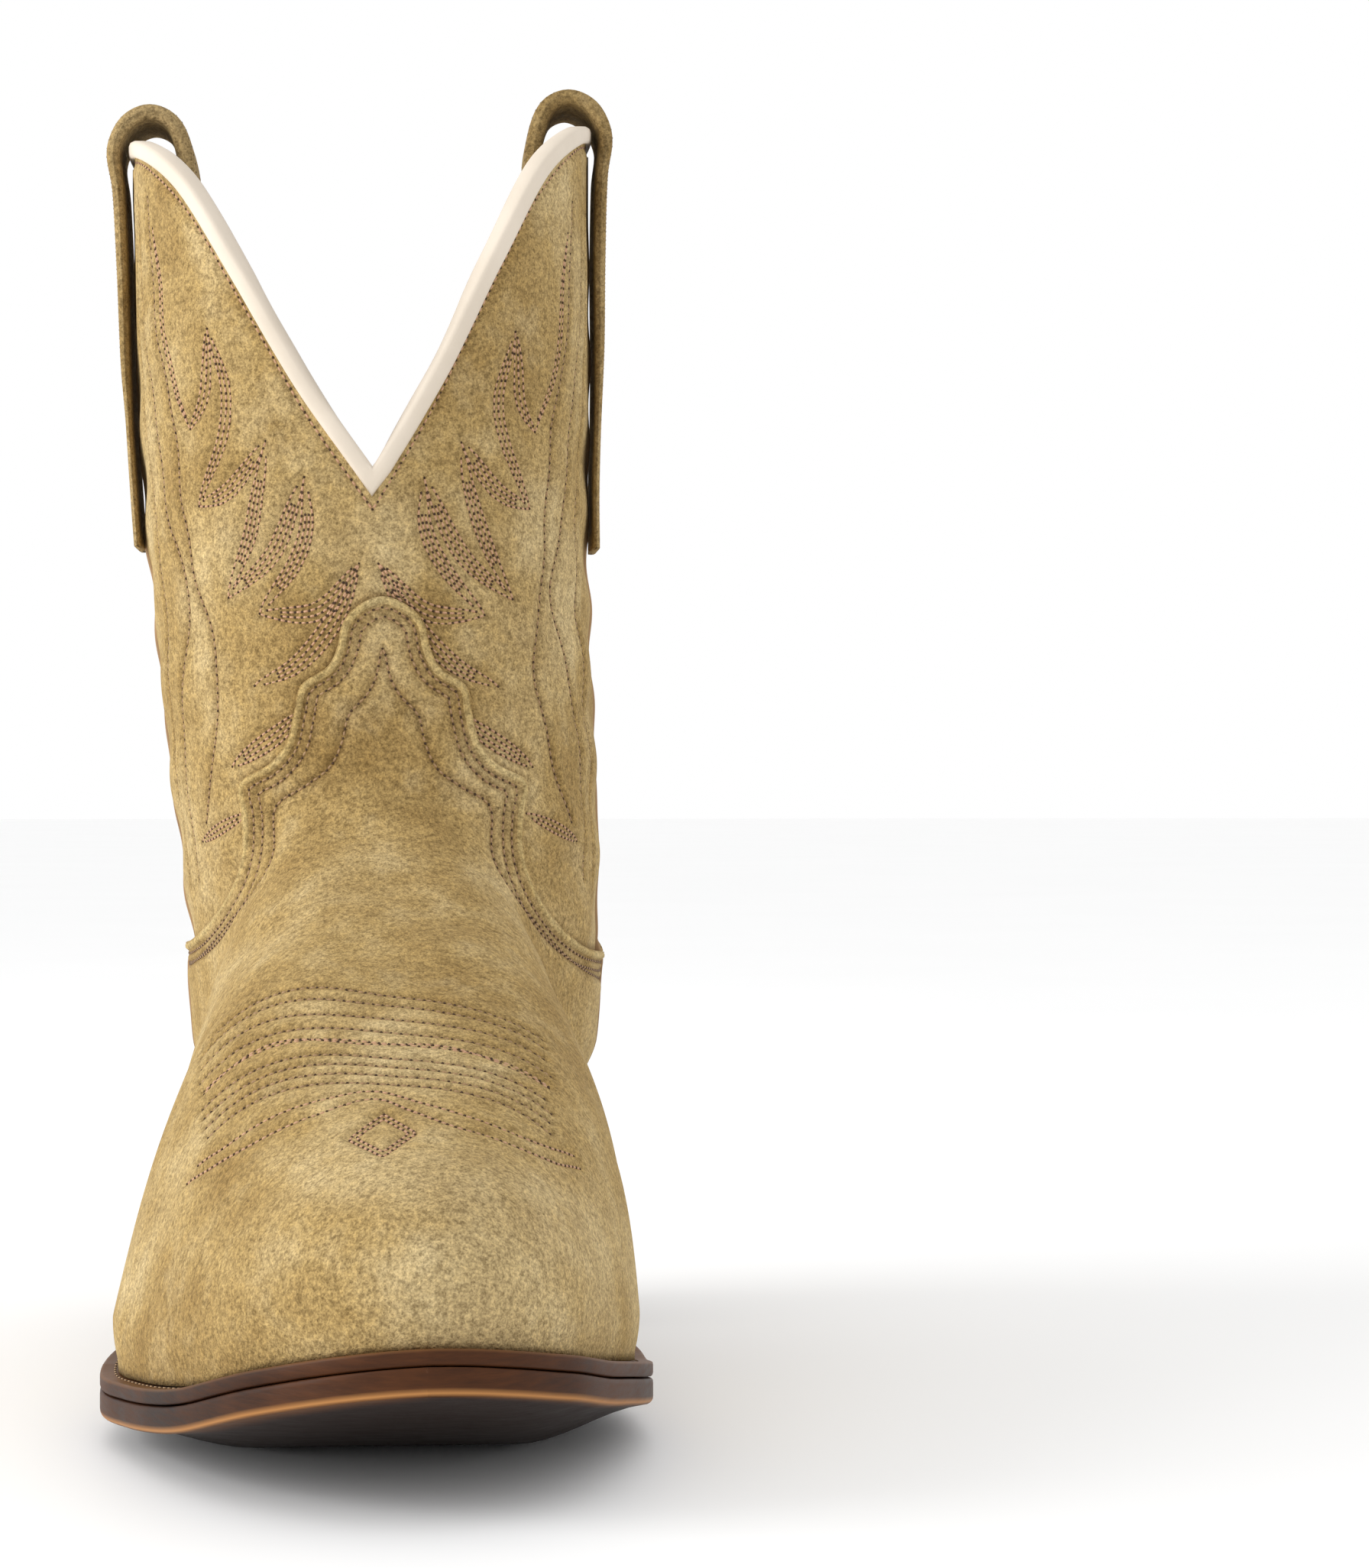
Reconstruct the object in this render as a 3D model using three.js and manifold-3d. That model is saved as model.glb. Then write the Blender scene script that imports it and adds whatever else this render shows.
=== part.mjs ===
// A pull-on cowboy boot for the right foot, as its separate cut and sewn pieces.
// Millimetres, +Z up, the toe points along -Y and the inner side of the foot is +X.
// The boot is one smooth outer surface (a foot volume blended with a leg volume). Every
// leather layer is the space between two offsets of that surface, cut to its pattern.

import * as THREE from 'three';
import Module from 'manifold-3d';
import { mergeVertices } from 'three/addons/utils/BufferGeometryUtils.js';

const wasm = await Module();
wasm.setup();

// ---------- driving dimensions ----------

const TOE_Y = -138;               // tip of the upper
const HEEL_Y = 126;               // back of the foot volume, inside the leg volume
const SEAM_Y = 73;                // plane of the two side seams
const BALL_BACK_Y = -30;          // the section planes turn about a line over this place
const SOLE_EDGE = 8;              // outsole and welt together
const BELLY = 9;                  // height of the widest line above the feather edge
const TUCK = 1.5;                 // how far the upper turns in below that line
const PIVOT_Z = 140;              // section planes are level above this height
const SPINE_RADIUS = 99.6;        // bend of the middle line from leg to foot
const TOP_Z = 290;                // top of the raw tube before the scallops are cut

const GAP = 0.3;                  // clearance between touching pieces
const OUTER_FACE = 1.9;           // vamp and counter lie outside the shaft panels
const OUTER_BACK = 0.3;
const PANEL_FACE = 0;
const PANEL_BACK = -1.6;
const STIFF_BACK = -1.3;
const LINING_FACE = -2;
const LINING_BACK = -3;
const SEAM_HALF = 0.8;            // half width of the side piping
const MARGIN = 12;                // width of the lasted margin under the insole

const PEAK_OUTER_Z = 258.5;       // top of the shaft at the outer side seam
const PEAK_INNER_Z = 263;         // and at the inner one
const NOTCH_Z = 184;              // bottom of the front and back notches
const NOTCH_X = -4.5;             // the notches lean a little to the outer side
const SIDE_OUTER_X = -57;         // shaft side at the peak, outer and inner
const SIDE_INNER_X = 42;
const BINDING = 3.6;              // visible height of the top binding
const FOLD = 1.2;                 // thickness of the binding over the edge
const BINDING_FACE = 1;
const BINDING_BACK = -3.9;
const PIPING_FACE = 0.6;          // the piping between the panels
const PIPING_LOW_FACE = 2.4;      // and lower down, between vamp and counter
const PIPING_STEP_Z = 84;
const PIPING_FOOT_Z = 49;
const STIFFENER_FOOT_Z = 57.5;
const PUFF_BACK_Y = -92;

// Heights of the bottom pieces are measured from the feather edge.
const WELT = 3;
const WELT_REACH = 7;             // how far the welt runs in under the upper
const INSOLE_LOW = 5.4;
const INSOLE_HIGH = 8;
const INSOLE_INSET = 4.7;
const SOCK_LOW = 8.4;
const SOCK_HIGH = 9.4;
const FILLER_HIGH = 4.5;
const SHANK_LOW = 1;
const SHANK_HIGH = 2.4;
const SHANK_HALF = 7.5;
const SHANK_FRONT_Y = -18;
const SHANK_BACK_Y = 102;

const HEEL_BREAST_Y = 73;
const TOP_PIECE = 6;              // rubber under the heel
const LIFTS = 5;
const NAILED_LIFTS = 2;
const NAILS = 5;
const NAIL_RING = { y: 99, across: 18, along: 15 };
const NAIL = { foot: 0.6, head: 1.6, neckLow: 1.6, neckHigh: 2.4, shaft: 0.8, top: 15, tip: 16.5 };

const SIDE_STEPS = 9;             // facets on each side of every section

// ---------- curves ----------

// A smooth curve through [position, value] stations that never overshoots them.
function curveThrough(stations) {
  const last = stations.length - 1;
  const chord = [];
  for (let i = 0; i < last; i += 1) {
    chord.push((stations[i + 1][1] - stations[i][1]) / (stations[i + 1][0] - stations[i][0]));
  }
  const slope = stations.map((_, i) => {
    if (i === 0) return chord[0];
    if (i === last) return chord[last - 1];
    if (chord[i - 1] * chord[i] <= 0) return 0;
    return (2 * chord[i - 1] * chord[i]) / (chord[i - 1] + chord[i]);
  });
  return (position) => {
    const p = THREE.MathUtils.clamp(position, stations[0][0], stations[last][0]);
    let i = 0;
    while (i < last - 1 && p > stations[i + 1][0]) i += 1;
    const width = stations[i + 1][0] - stations[i][0];
    const t = (p - stations[i][0]) / width;
    const a = stations[i][1] * (1 + 2 * t) * (1 - t) ** 2;
    const b = stations[i + 1][1] * t * t * (3 - 2 * t);
    const c = slope[i] * width * t * (1 - t) ** 2;
    const d = slope[i + 1] * width * t * t * (t - 1);
    return a + b + c + d;
  };
}

// The same for a width that closes to a round end: its square is what runs smoothly.
function roundEnded(stations) {
  const squared = curveThrough(stations.map(([position, value]) => [position, value * value]));
  return (position) => Math.sqrt(Math.max(squared(position), 0));
}

// ---------- foot and leg volumes ----------

// Height of the feather edge, where the upper turns under the foot: toe spring, ball,
// arch and heel seat.
const featherLine = curveThrough([
  [-144, 30], [TOE_Y, 28.2], [-126, 24.9], [-105, 19.7], [-90, 17.3], [-74, 15.2], [-58, 13.5],
  [-45, 12.8], [-30, 13.4], [0, 18], [30, 28], [60, 40], [85, 46], [110, 48.5], [138, 50],
]);

// The inner side of the toe stands a little higher than the outer side.
const toeTwist = curveThrough([[TOE_Y, 1], [-104, 2], [-74, 1.2], [-45, 0]]);

function featherHeight(x, y) {
  return featherLine(y) + (toeTwist(y) * x) / 40;
}

// Height of the underside along the middle of the foot, flat where the tread rests.
const treadLine = curveThrough([
  [-144, 22], [-130, 17.3], [-105, 9.2], [-85, 4], [-68, 0.9], [-56, 0], [-36, 0], [-15, 4.4],
  [5, 12], [25, 18], [60, 32], [85, 38], [110, 40.5], [138, 42],
]);

const footHalfWidth = roundEnded([
  [TOE_Y, 0], [-128, 19], [-120, 25.5], [-108, 31.5], [-90, 38], [-75, 42.3], [-55, 46.2],
  [-40, 46.6], [-15, 43.6], [15, 37.5], [45, 32.5], [75, 29], [100, 27], [115, 20],
  [HEEL_Y, 0],
]);
const footCentre = curveThrough([
  [TOE_Y, 5.3], [-108, 0.8], [-75, -1.6], [-45, -3.6], [0, -3.6], [40, -2], [80, 0], [HEEL_Y, 0],
]);
const footRoof = roundEnded([
  [TOE_Y, 0], [-125, 19.5], [-105, 31], [-85, 41], [-60, 53.4], [-35, 65.2], [-12, 73.5],
  [10, 81], [40, 80], [70, 70], [HEEL_Y, 60],
]);

// Both walls lean in towards the roof, the outer one more than the inner one.
const footSquareness = curveThrough([[TOE_Y, 2.2], [-100, 2.5], [-60, 3], [-20, 2.9], [30, 2.3]]);
const outerLean = curveThrough([[TOE_Y, 0.1], [-90, 0.2], [-55, 0.3], [-20, 0.28], [20, 0.1]]);
const INNER_LEAN = 0.1;

const legFront = curveThrough([
  [40, 30], [50, 22], [65, 14], [82, 10], [100, 9], [125, 11], [150, 12.5], [180, 12.5],
  [215, 11], [262, 8], [TOP_Z, 6],
]);
const legBack = curveThrough([
  [40, 131], [50, 133], [65, 135.5], [82, 135.5], [100, 133], [125, 130], [150, 130],
  [180, 131.5], [215, 133.5], [262, 136], [TOP_Z, 137],
]);
const legHalfWidth = curveThrough([
  [40, 30], [50, 33], [58, 38.8], [65, 41.6], [82, 42.8], [100, 44.4], [125, 45.8],
  [150, 46.6], [180, 47.6], [215, 48.7], [262, 48.9], [TOP_Z, 48.9],
]);
const legCentre = curveThrough([
  [40, 0], [82, 0.2], [100, -0.6], [125, -2.5], [150, -4.3], [180, -6.2], [215, -6.8],
  [262, -7.4], [TOP_Z, -7.6],
]);
const legSquareness = curveThrough([[40, 2.4], [60, 2.4], [120, 2.15], [TOP_Z, 2.15]]);

// Distance outside a superellipse along the line to its centre, negative inside.
function outsideOval(a, b, halfA, halfB, power) {
  const norm = ((Math.abs(a) / halfA) ** power + (Math.abs(b) / halfB) ** power) ** (1 / power);
  return Math.hypot(a, b) * (1 - 1 / Math.max(norm, 1e-6));
}

function outsideFoot(x, y, z) {
  const halfWidth = footHalfWidth(y);
  if (halfWidth < 0.01) return 10;
  const rise = z - featherHeight(x, y) - BELLY;
  const across = x - footCentre(y);
  if (rise > 0) {
    const roof = footRoof(y);
    const lean = (across < 0 ? outerLean(y) : INNER_LEAN) * Math.min(rise / roof, 1);
    return outsideOval(across, rise, halfWidth * (1 - lean), roof, footSquareness(y));
  }
  return Math.abs(across) - halfWidth + TUCK * (rise / BELLY) ** 2;
}

function outsideLeg(x, y, z) {
  const middle = (legFront(z) + legBack(z)) / 2;
  const depth = (legBack(z) - legFront(z)) / 2;
  return outsideOval(x - legCentre(z), y - middle, legHalfWidth(z), depth, legSquareness(z));
}

// The whole boot surface: the two volumes with a soft hollow where they meet.
function outsideBoot(x, y, z) {
  const blend = 11;
  const foot = outsideFoot(x, y, z);
  const leg = outsideLeg(x, y, z);
  const near = Math.max(blend - Math.abs(foot - leg), 0) / blend;
  return Math.min(foot, leg) - (near * near * blend) / 4;
}

function surfaceNormal(p) {
  const h = 0.4;
  const normal = new THREE.Vector3(
    outsideBoot(p.x + h, p.y, p.z) - outsideBoot(p.x - h, p.y, p.z),
    outsideBoot(p.x, p.y + h, p.z) - outsideBoot(p.x, p.y - h, p.z),
    outsideBoot(p.x, p.y, p.z + h) - outsideBoot(p.x, p.y, p.z - h),
  );
  return normal.normalize();
}

// ---------- sections of the surface ----------

// A section is a plane with a middle point and the direction in it to the front ridge.
function levelSection(z) {
  return {
    middle: new THREE.Vector3(legCentre(z), BALL_BACK_Y + SPINE_RADIUS, z),
    ridge: new THREE.Vector3(0, -1, 0),
    closed: true,
  };
}

// A plane through the pivot over the ball that meets the feather edge at footY.
function fanSection(footY, closedZ) {
  const drop = PIVOT_Z - (closedZ ?? featherLine(footY) + OUTER_FACE);
  const out = new THREE.Vector3(0, footY - BALL_BACK_Y, -drop).normalize();
  const middle = new THREE.Vector3(0, BALL_BACK_Y, PIVOT_Z).addScaledVector(out, SPINE_RADIUS);
  middle.x = THREE.MathUtils.lerp(legCentre(middle.z), footCentre(middle.y), drop / PIVOT_Z);
  return { middle, ridge: out.clone().negate(), closed: closedZ !== undefined };
}

function uprightSection(y) {
  const height = featherLine(y) + 0.4 * (BELLY + footRoof(y));
  return {
    middle: new THREE.Vector3(footCentre(y), y, height),
    ridge: new THREE.Vector3(0, 0, 1),
    closed: false,
  };
}

const LEVEL_Z = [TOP_Z, 225, 180, 148];
const CLOSED_Z = [122, 104, 90, 76, 66, 58];
const FAN_Y = [133.1, 131, 127, 119, 108, 96, 84, 70, 54, 36, 18, 0, -15];
const UPRIGHT_Y = [BALL_BACK_Y, -38, -54, -68, -84, -100, -113, -123, -130, -134.8, -137.3];

const SECTIONS = [
  ...LEVEL_Z.map(levelSection),
  ...CLOSED_Z.map((z) => fanSection(HEEL_Y, z)),
  ...FAN_Y.map((y) => fanSection(y)),
  ...UPRIGHT_Y.map(uprightSection),
];

// The point where a ray from the middle of a section meets the surface.
function rayPoint(section, angle) {
  const ray = section.ridge.clone().multiplyScalar(Math.cos(angle));
  ray.x += Math.sin(angle);
  let inside = 0;
  let outside = 130;
  for (let i = 0; i < 26; i += 1) {
    const reach = (inside + outside) / 2;
    const p = section.middle.clone().addScaledVector(ray, reach);
    if (outsideBoot(p.x, p.y, p.z) < 0) inside = reach;
    else outside = reach;
  }
  return section.middle.clone().addScaledVector(ray, inside);
}

// The angle at which a section reaches the feather edge, on the side given by sign.
function featherAngle(section, sign) {
  let above = 0.3;
  let below = Math.PI;
  for (let i = 0; i < 22; i += 1) {
    const angle = (above + below) / 2;
    const p = rayPoint(section, sign * angle);
    if (p.z > featherHeight(p.x, p.y) + OUTER_FACE) above = angle;
    else below = angle;
  }
  return above;
}

// Angles that space the points of one side evenly along the section, from the ridge down.
function evenAngles(section, sign, limit) {
  const probes = 40;
  const angles = [];
  const lengths = [0];
  for (let i = 0; i <= probes; i += 1) angles.push((sign * limit * i) / probes);
  const points = angles.map((angle) => rayPoint(section, angle));
  for (let i = 1; i <= probes; i += 1) {
    lengths.push(lengths[i - 1] + points[i].distanceTo(points[i - 1]));
  }
  const angleAt = curveThrough(lengths.map((length, i) => [length, angles[i]]));
  const even = [];
  for (let step = 1; step <= SIDE_STEPS; step += 1) {
    even.push(step === SIDE_STEPS ? sign * limit : angleAt((lengths[probes] * step) / SIDE_STEPS));
  }
  return even;
}

// One row of surface points with their normals, from the outer side over the ridge to the
// inner side.
function sectionRow(section) {
  const [outer, inner] = [-1, 1].map((sign) => {
    const limit = section.closed ? Math.PI : featherAngle(section, sign);
    return evenAngles(section, sign, limit);
  });
  const angles = [...outer.reverse(), 0, ...inner];
  return angles.map((angle, i) => {
    const point = rayPoint(section, angle);
    const normal = surfaceNormal(point);
    const atFeather = !section.closed && (i === 0 || i === angles.length - 1);
    if (atFeather) normal.setZ(0).normalize();
    return { point, normal, atFeather };
  });
}

const ROWS = SECTIONS.map(sectionRow);
const TOE_TIP = new THREE.Vector3(footCentre(TOE_Y), TOE_Y, featherLine(TOE_Y) + 0.7 * BELLY);

// ---------- solids ----------

// A closed solid from a list of triangles, each three Vector3 corners.
function solidFrom(triangles) {
  const kept = triangles.filter(([a, b, c]) => {
    const smallest = Math.min(a.distanceTo(b), b.distanceTo(c), c.distanceTo(a));
    return smallest > 1e-4;
  });
  const geometry = new THREE.BufferGeometry();
  geometry.setFromPoints(kept.flat());
  return manifoldOf(geometry);
}

function manifoldOf(geometry) {
  geometry.deleteAttribute('normal');
  geometry.deleteAttribute('uv');
  const merged = mergeVertices(geometry, 1e-4);
  const mesh = new wasm.Mesh({
    numProp: 3,
    vertProperties: merged.attributes.position.array,
    triVerts: Uint32Array.from(merged.index.array),
  });
  return new wasm.Manifold(mesh);
}

function quad(a, b, c, d) {
  return [[a, c, b], [a, d, c]];
}

// The same quad split along its shorter diagonal, so stacked plates split alike.
function shortQuad(a, b, c, d) {
  return a.distanceTo(c) <= b.distanceTo(d) ? quad(a, b, c, d) : quad(b, c, d, a);
}

// Two rows of points of the same length joined by a band of triangles.
function band(rowA, rowB, split = quad) {
  const triangles = [];
  for (let j = 0; j + 1 < rowA.length; j += 1) {
    triangles.push(...split(rowA[j], rowA[j + 1], rowB[j + 1], rowB[j]));
  }
  return triangles;
}

// The boot surface moved out by distance (in when negative), closed at the top and bottom.
function bootSolid(distance) {
  const rows = ROWS.map((row) => row.map(({ point, normal, atFeather }) => {
    const moved = point.clone().addScaledVector(normal, distance);
    const bottom = featherHeight(moved.x, moved.y) + OUTER_FACE - distance;
    moved.z = atFeather ? bottom : Math.max(moved.z, bottom);
    return moved;
  }));
  rows.forEach((row, i) => {
    if (SECTIONS[i].closed) row[row.length - 1] = row[0];
  });
  const tip = TOE_TIP.clone().setY(TOE_Y - distance);
  const top = new THREE.Vector3(0, 0, 0);
  rows[0].forEach((p) => top.addScaledVector(p, 1 / rows[0].length));
  const triangles = [];
  for (let i = 0; i + 1 < rows.length; i += 1) {
    triangles.push(...band(rows[i], rows[i + 1]));
    const ends = [rows[i], rows[i + 1]].map((row) => [row[row.length - 1], row[0]]);
    triangles.push(...band(ends[0], ends[1]));
  }
  const first = rows[0];
  const final = [...rows[rows.length - 1], rows[rows.length - 1][0]];
  for (let j = 0; j + 1 < first.length; j += 1) triangles.push([top, first[j], first[j + 1]]);
  for (let j = 0; j + 1 < final.length; j += 1) triangles.push([tip, final[j + 1], final[j]]);
  return solidFrom(triangles);
}

const shellCache = new Map();
function boot(distance) {
  if (!shellCache.has(distance)) shellCache.set(distance, bootSolid(distance));
  return shellCache.get(distance);
}

function layer(face, back) {
  return boot(face).subtract(boot(back));
}

// A prism over an outline. direction names the axis it runs along.
function prism(outline, direction, from, to) {
  const shape = new THREE.Shape(outline.map(([a, b]) => new THREE.Vector2(a, b)));
  const geometry = new THREE.ExtrudeGeometry(shape, { depth: to - from, bevelEnabled: false });
  if (direction === 'z') {
    geometry.translate(0, 0, from);
    return manifoldOf(geometry);
  }
  geometry.rotateX(Math.PI / 2);
  if (direction === 'y') geometry.translate(0, to, 0);
  else geometry.rotateZ(Math.PI / 2).translate(from, 0, 0);
  return manifoldOf(geometry);
}

function block(x0, x1, y0, y1, z0, z1) {
  return prism([[x0, y0], [x1, y0], [x1, y1], [x0, y1]], 'z', z0, z1);
}

const FAR = 400;
const FRONT = block(-FAR, FAR, -FAR, SEAM_Y - SEAM_HALF - GAP, -FAR, FAR);
const BACK = block(-FAR, FAR, SEAM_Y + SEAM_HALF + GAP, FAR, -FAR, FAR);
const FRONT_HALF = block(-FAR, FAR, -FAR, SEAM_Y - GAP / 2, -FAR, FAR);
const BACK_HALF = block(-FAR, FAR, SEAM_Y + GAP / 2, FAR, -FAR, FAR);

// ---------- sole plates ----------

// The feather edge as pairs of outer and inner points, from heel to toe.
const FEATHER = ROWS
  .filter((_, i) => !SECTIONS[i].closed)
  .map((row) => [row[0], row[row.length - 1]]);

const HEEL_TIP_Y = legBack(featherLine(HEEL_Y) + OUTER_FACE);

// The plan of a plate: the feather edge moved out by spread(y), closed at both tips.
function platePlan(spread) {
  const moved = (end) => end.point.clone().addScaledVector(end.normal, spread(end.point.y));
  const heelTip = new THREE.Vector3(legCentre(0), HEEL_TIP_Y + spread(HEEL_TIP_Y), 0);
  const toeTip = new THREE.Vector3(footCentre(TOE_Y), TOE_Y - spread(TOE_Y), 0);
  const pairs = FEATHER.map(([outer, inner]) => [moved(outer), moved(inner)]);
  return [[heelTip, heelTip], ...pairs, [toeTip, toeTip]];
}

function atHeight(p, lift) {
  return new THREE.Vector3(p.x, p.y, featherHeight(p.x, p.y) + lift);
}

function solidFromRings(rings) {
  const triangles = [];
  for (let i = 0; i + 1 < rings.length; i += 1) {
    const [ring, next] = [rings[i], rings[i + 1]];
    triangles.push(...band([...ring, ring[0]], [...next, next[0]], shortQuad));
  }
  return solidFrom(triangles);
}

// A plate between two heights above the feather edge, straight across the foot.
function footPlate(spread, low, high) {
  return solidFromRings(platePlan(spread).map(([outer, inner]) => [
    atHeight(outer, high), atHeight(inner, high), atHeight(inner, low), atHeight(outer, low),
  ]));
}

// A point on the fold where the cambered tread turns up towards the edges.
function treadFold(outer, inner, side, lift) {
  const y = (outer.y + inner.y) / 2;
  const x = (outer.x + inner.x) / 2 + (side * (inner.x - outer.x)) / 4;
  const flat = featherHeight(x, y) - SOLE_EDGE;
  return new THREE.Vector3(x, y, Math.min(treadLine(y), flat) + lift);
}

const soleSpread = curveThrough([[-150, 4.9], [-60, 5.3], [0, 2.4], [30, 1.7], [150, 1.7]]);
const LEATHER_SOLE = SOLE_EDGE - WELT - GAP;

// The leather outsole is cambered: its middle hangs lower than its edges.
function outsole() {
  return solidFromRings(platePlan(soleSpread).map(([outer, inner]) => [
    atHeight(outer, -WELT - GAP), treadFold(outer, inner, -1, LEATHER_SOLE),
    treadFold(outer, inner, 1, LEATHER_SOLE), atHeight(inner, -WELT - GAP),
    atHeight(inner, -SOLE_EDGE), treadFold(outer, inner, 1, 0),
    treadFold(outer, inner, -1, 0), atHeight(outer, -SOLE_EDGE),
  ]));
}

function weltRing() {
  const room = footPlate(() => -WELT_REACH, -WELT - 1, 1);
  return footPlate(soleSpread, -WELT, -GAP).subtract(room);
}

function welt() {
  return weltRing().intersect(block(-FAR, FAR, -FAR, HEEL_BREAST_Y - GAP, -FAR, FAR));
}

function heelSeatRand() {
  return weltRing().intersect(block(-FAR, FAR, HEEL_BREAST_Y, FAR, -FAR, FAR));
}

// The strip of the shank, with an extra all round for the room it lies in.
function shankStrip(extra, high) {
  const half = SHANK_HALF + extra;
  const strip = block(
    -half - 1, half - 1, SHANK_FRONT_Y - extra, SHANK_BACK_Y + extra, -FAR, FAR,
  );
  return footPlate(() => -1, SHANK_LOW - extra, high).intersect(strip);
}

function shank() {
  return shankStrip(0, SHANK_HIGH);
}

function bottomFiller() {
  const body = footPlate(() => -MARGIN - 2 * GAP, -WELT + GAP, FILLER_HIGH);
  return body.subtract(shankStrip(GAP, 2 * FILLER_HIGH));
}

function insole() {
  return footPlate(() => -INSOLE_INSET, INSOLE_LOW, INSOLE_HIGH);
}

function sockLiner() {
  return footPlate(() => -INSOLE_INSET, SOCK_LOW, SOCK_HIGH);
}

// ---------- heel ----------

// The heel leans in towards the floor. share is 0 on the floor and 1 at the seat.
function heelOutline(share) {
  return {
    halfWidth: THREE.MathUtils.lerp(27.5, 32, share),
    breast: THREE.MathUtils.lerp(HEEL_BREAST_Y + 4, HEEL_BREAST_Y, share),
    back: THREE.MathUtils.lerp(123, 134.5, share),
  };
}

// Height of a level in the stack: flat on the rubber, following the seat at the top.
function stackHeight(share, y) {
  const seat = featherLine(y) - SOLE_EDGE - GAP;
  return THREE.MathUtils.lerp(TOP_PIECE, seat, share);
}

// A D-shaped slice of the heel between two levels, straight across the breast.
function heelSlice(low, high, heightLow, heightHigh) {
  const straight = 0.36;
  const stations = [0, 0.18, straight, 0.54, 0.68, 0.8, 0.89, 0.95, 0.985, 1];
  const rings = stations.map((s) => {
    const corner = (share, height, side) => {
      const { halfWidth, breast, back } = heelOutline(share);
      const y = THREE.MathUtils.lerp(breast, back, s);
      const bend = Math.max(s - straight, 0) / (1 - straight);
      return new THREE.Vector3(side * halfWidth * Math.sqrt(1 - bend ** 2.3), y, height(y));
    };
    const ring = [
      corner(high, heightHigh, 1), corner(high, heightHigh, -1),
      corner(low, heightLow, -1), corner(low, heightLow, 1),
    ];
    return [...ring, ring[0]];
  });
  const triangles = [];
  for (let i = 0; i + 1 < rings.length; i += 1) triangles.push(...band(rings[i], rings[i + 1]));
  const [a, b, c, d] = rings[0];
  triangles.push(...quad(d, c, b, a));
  return solidFrom(triangles);
}

function nailPlaces() {
  const places = [];
  for (let i = 0; i < NAILS; i += 1) {
    const turn = (i / NAILS) * 2 * Math.PI + Math.PI / 2;
    const x = NAIL_RING.across * Math.cos(turn);
    places.push([x, NAIL_RING.y + NAIL_RING.along * Math.sin(turn)]);
  }
  return places;
}

// A nail standing in the heel with its head just inside the rubber.
function nailBody(x, y, extra) {
  const profile = [
    [0, NAIL.foot - extra], [NAIL.head + extra, NAIL.foot - extra],
    [NAIL.head + extra, NAIL.neckLow], [NAIL.shaft + extra, NAIL.neckHigh],
    [NAIL.shaft + extra, NAIL.top + extra], [0, NAIL.tip + extra],
  ];
  const geometry = new THREE.LatheGeometry(profile.map(([r, z]) => new THREE.Vector2(r, z)), 10);
  geometry.rotateX(Math.PI / 2).translate(x, y, 0);
  return manifoldOf(geometry);
}

// The hole of a nail opens to the floor, so its head can be seen from below.
function nailHole(x, y) {
  const opening = block(x - 1, x + 1, y - 1, y + 1, -1, NAIL.foot + 0.2);
  return nailBody(x, y, GAP).add(opening);
}

function withNailHoles(solid) {
  return nailPlaces().reduce((left, [x, y]) => left.subtract(nailHole(x, y)), solid);
}

// The rubber goes on tapering at the slope of the stack above it.
function heelTopPiece() {
  return withNailHoles(heelSlice(-0.16, -0.01, () => 0, () => TOP_PIECE - GAP));
}

// Lift 1 is the lowest.
function heelLift(number) {
  const low = (number - 1) / LIFTS;
  const high = number / LIFTS;
  const top = (y) => stackHeight(high, y) - (number < LIFTS ? GAP : 0);
  const slice = heelSlice(low, high, (y) => stackHeight(low, y), top);
  return number <= NAILED_LIFTS ? withNailHoles(slice) : slice;
}

// ---------- upper patterns, as outlines seen from the front or the side ----------

// Top line of the shaft, lowered by drop measured across the edge.
function topLine(drop) {
  const rise = curveThrough([[0, 0], [0.25, 0.25], [0.5, 0.55], [0.75, 0.83], [1, 1]]);
  const edge = (peakZ, share) => {
    const slope = 1.65 * (1 - share ** 4);
    return THREE.MathUtils.lerp(NOTCH_Z, peakZ, rise(share)) - drop * Math.hypot(1, slope);
  };
  const side = (sideX, peakZ) => [0, 0.2, 0.4, 0.6, 0.75, 0.87, 1].map((share) => (
    [THREE.MathUtils.lerp(NOTCH_X, sideX, share), edge(peakZ, share)]
  ));
  const outer = side(SIDE_OUTER_X, PEAK_OUTER_Z);
  const inner = side(SIDE_INNER_X, PEAK_INNER_Z);
  const outerEnd = [-FAR, edge(PEAK_OUTER_Z, 1)];
  const innerEnd = [FAR, edge(PEAK_INNER_Z, 1)];
  return [outerEnd, ...outer.reverse(), ...inner.slice(1), innerEnd];
}

function belowTopLine(drop) {
  return prism([...topLine(drop), [FAR, -FAR], [-FAR, -FAR]], 'y', -FAR, FAR);
}

// The tongue of the vamp: half its outline from the tip down to the side seam.
const TONGUE_CENTRE = -2.4;
const TONGUE = [
  [0, 157.6], [4.5, 156], [7.8, 152.6], [9, 147.4], [11, 143.4], [16, 139.7], [17.2, 134],
  [18.6, 128], [21.8, 124], [28, 120], [27.4, 113], [27.3, 105], [29.2, 98.9], [34.2, 91.3],
  [40, 86.4], [46, 83.5],
];

// The panels run down under the tongue to this line, where it covers them.
const LAP = [[0, 143], [8, 132], [12, 112], [20, 98], [30, 84], [45, 74]];

function belowFrontLine(half, side, drop) {
  const lower = ([x, z]) => [TONGUE_CENTRE + side * x, z - drop];
  return half.map(lower);
}

function frontRegion(half, drop = 0) {
  const left = belowFrontLine(half, -1, drop).reverse();
  const right = belowFrontLine(half, 1, drop).slice(1);
  const end = half[half.length - 1][1] - drop;
  const outline = [[-FAR, end], ...left, ...right, [FAR, end], [FAR, -FAR], [-FAR, -FAR]];
  return prism(outline, 'y', -FAR, FAR);
}

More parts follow.
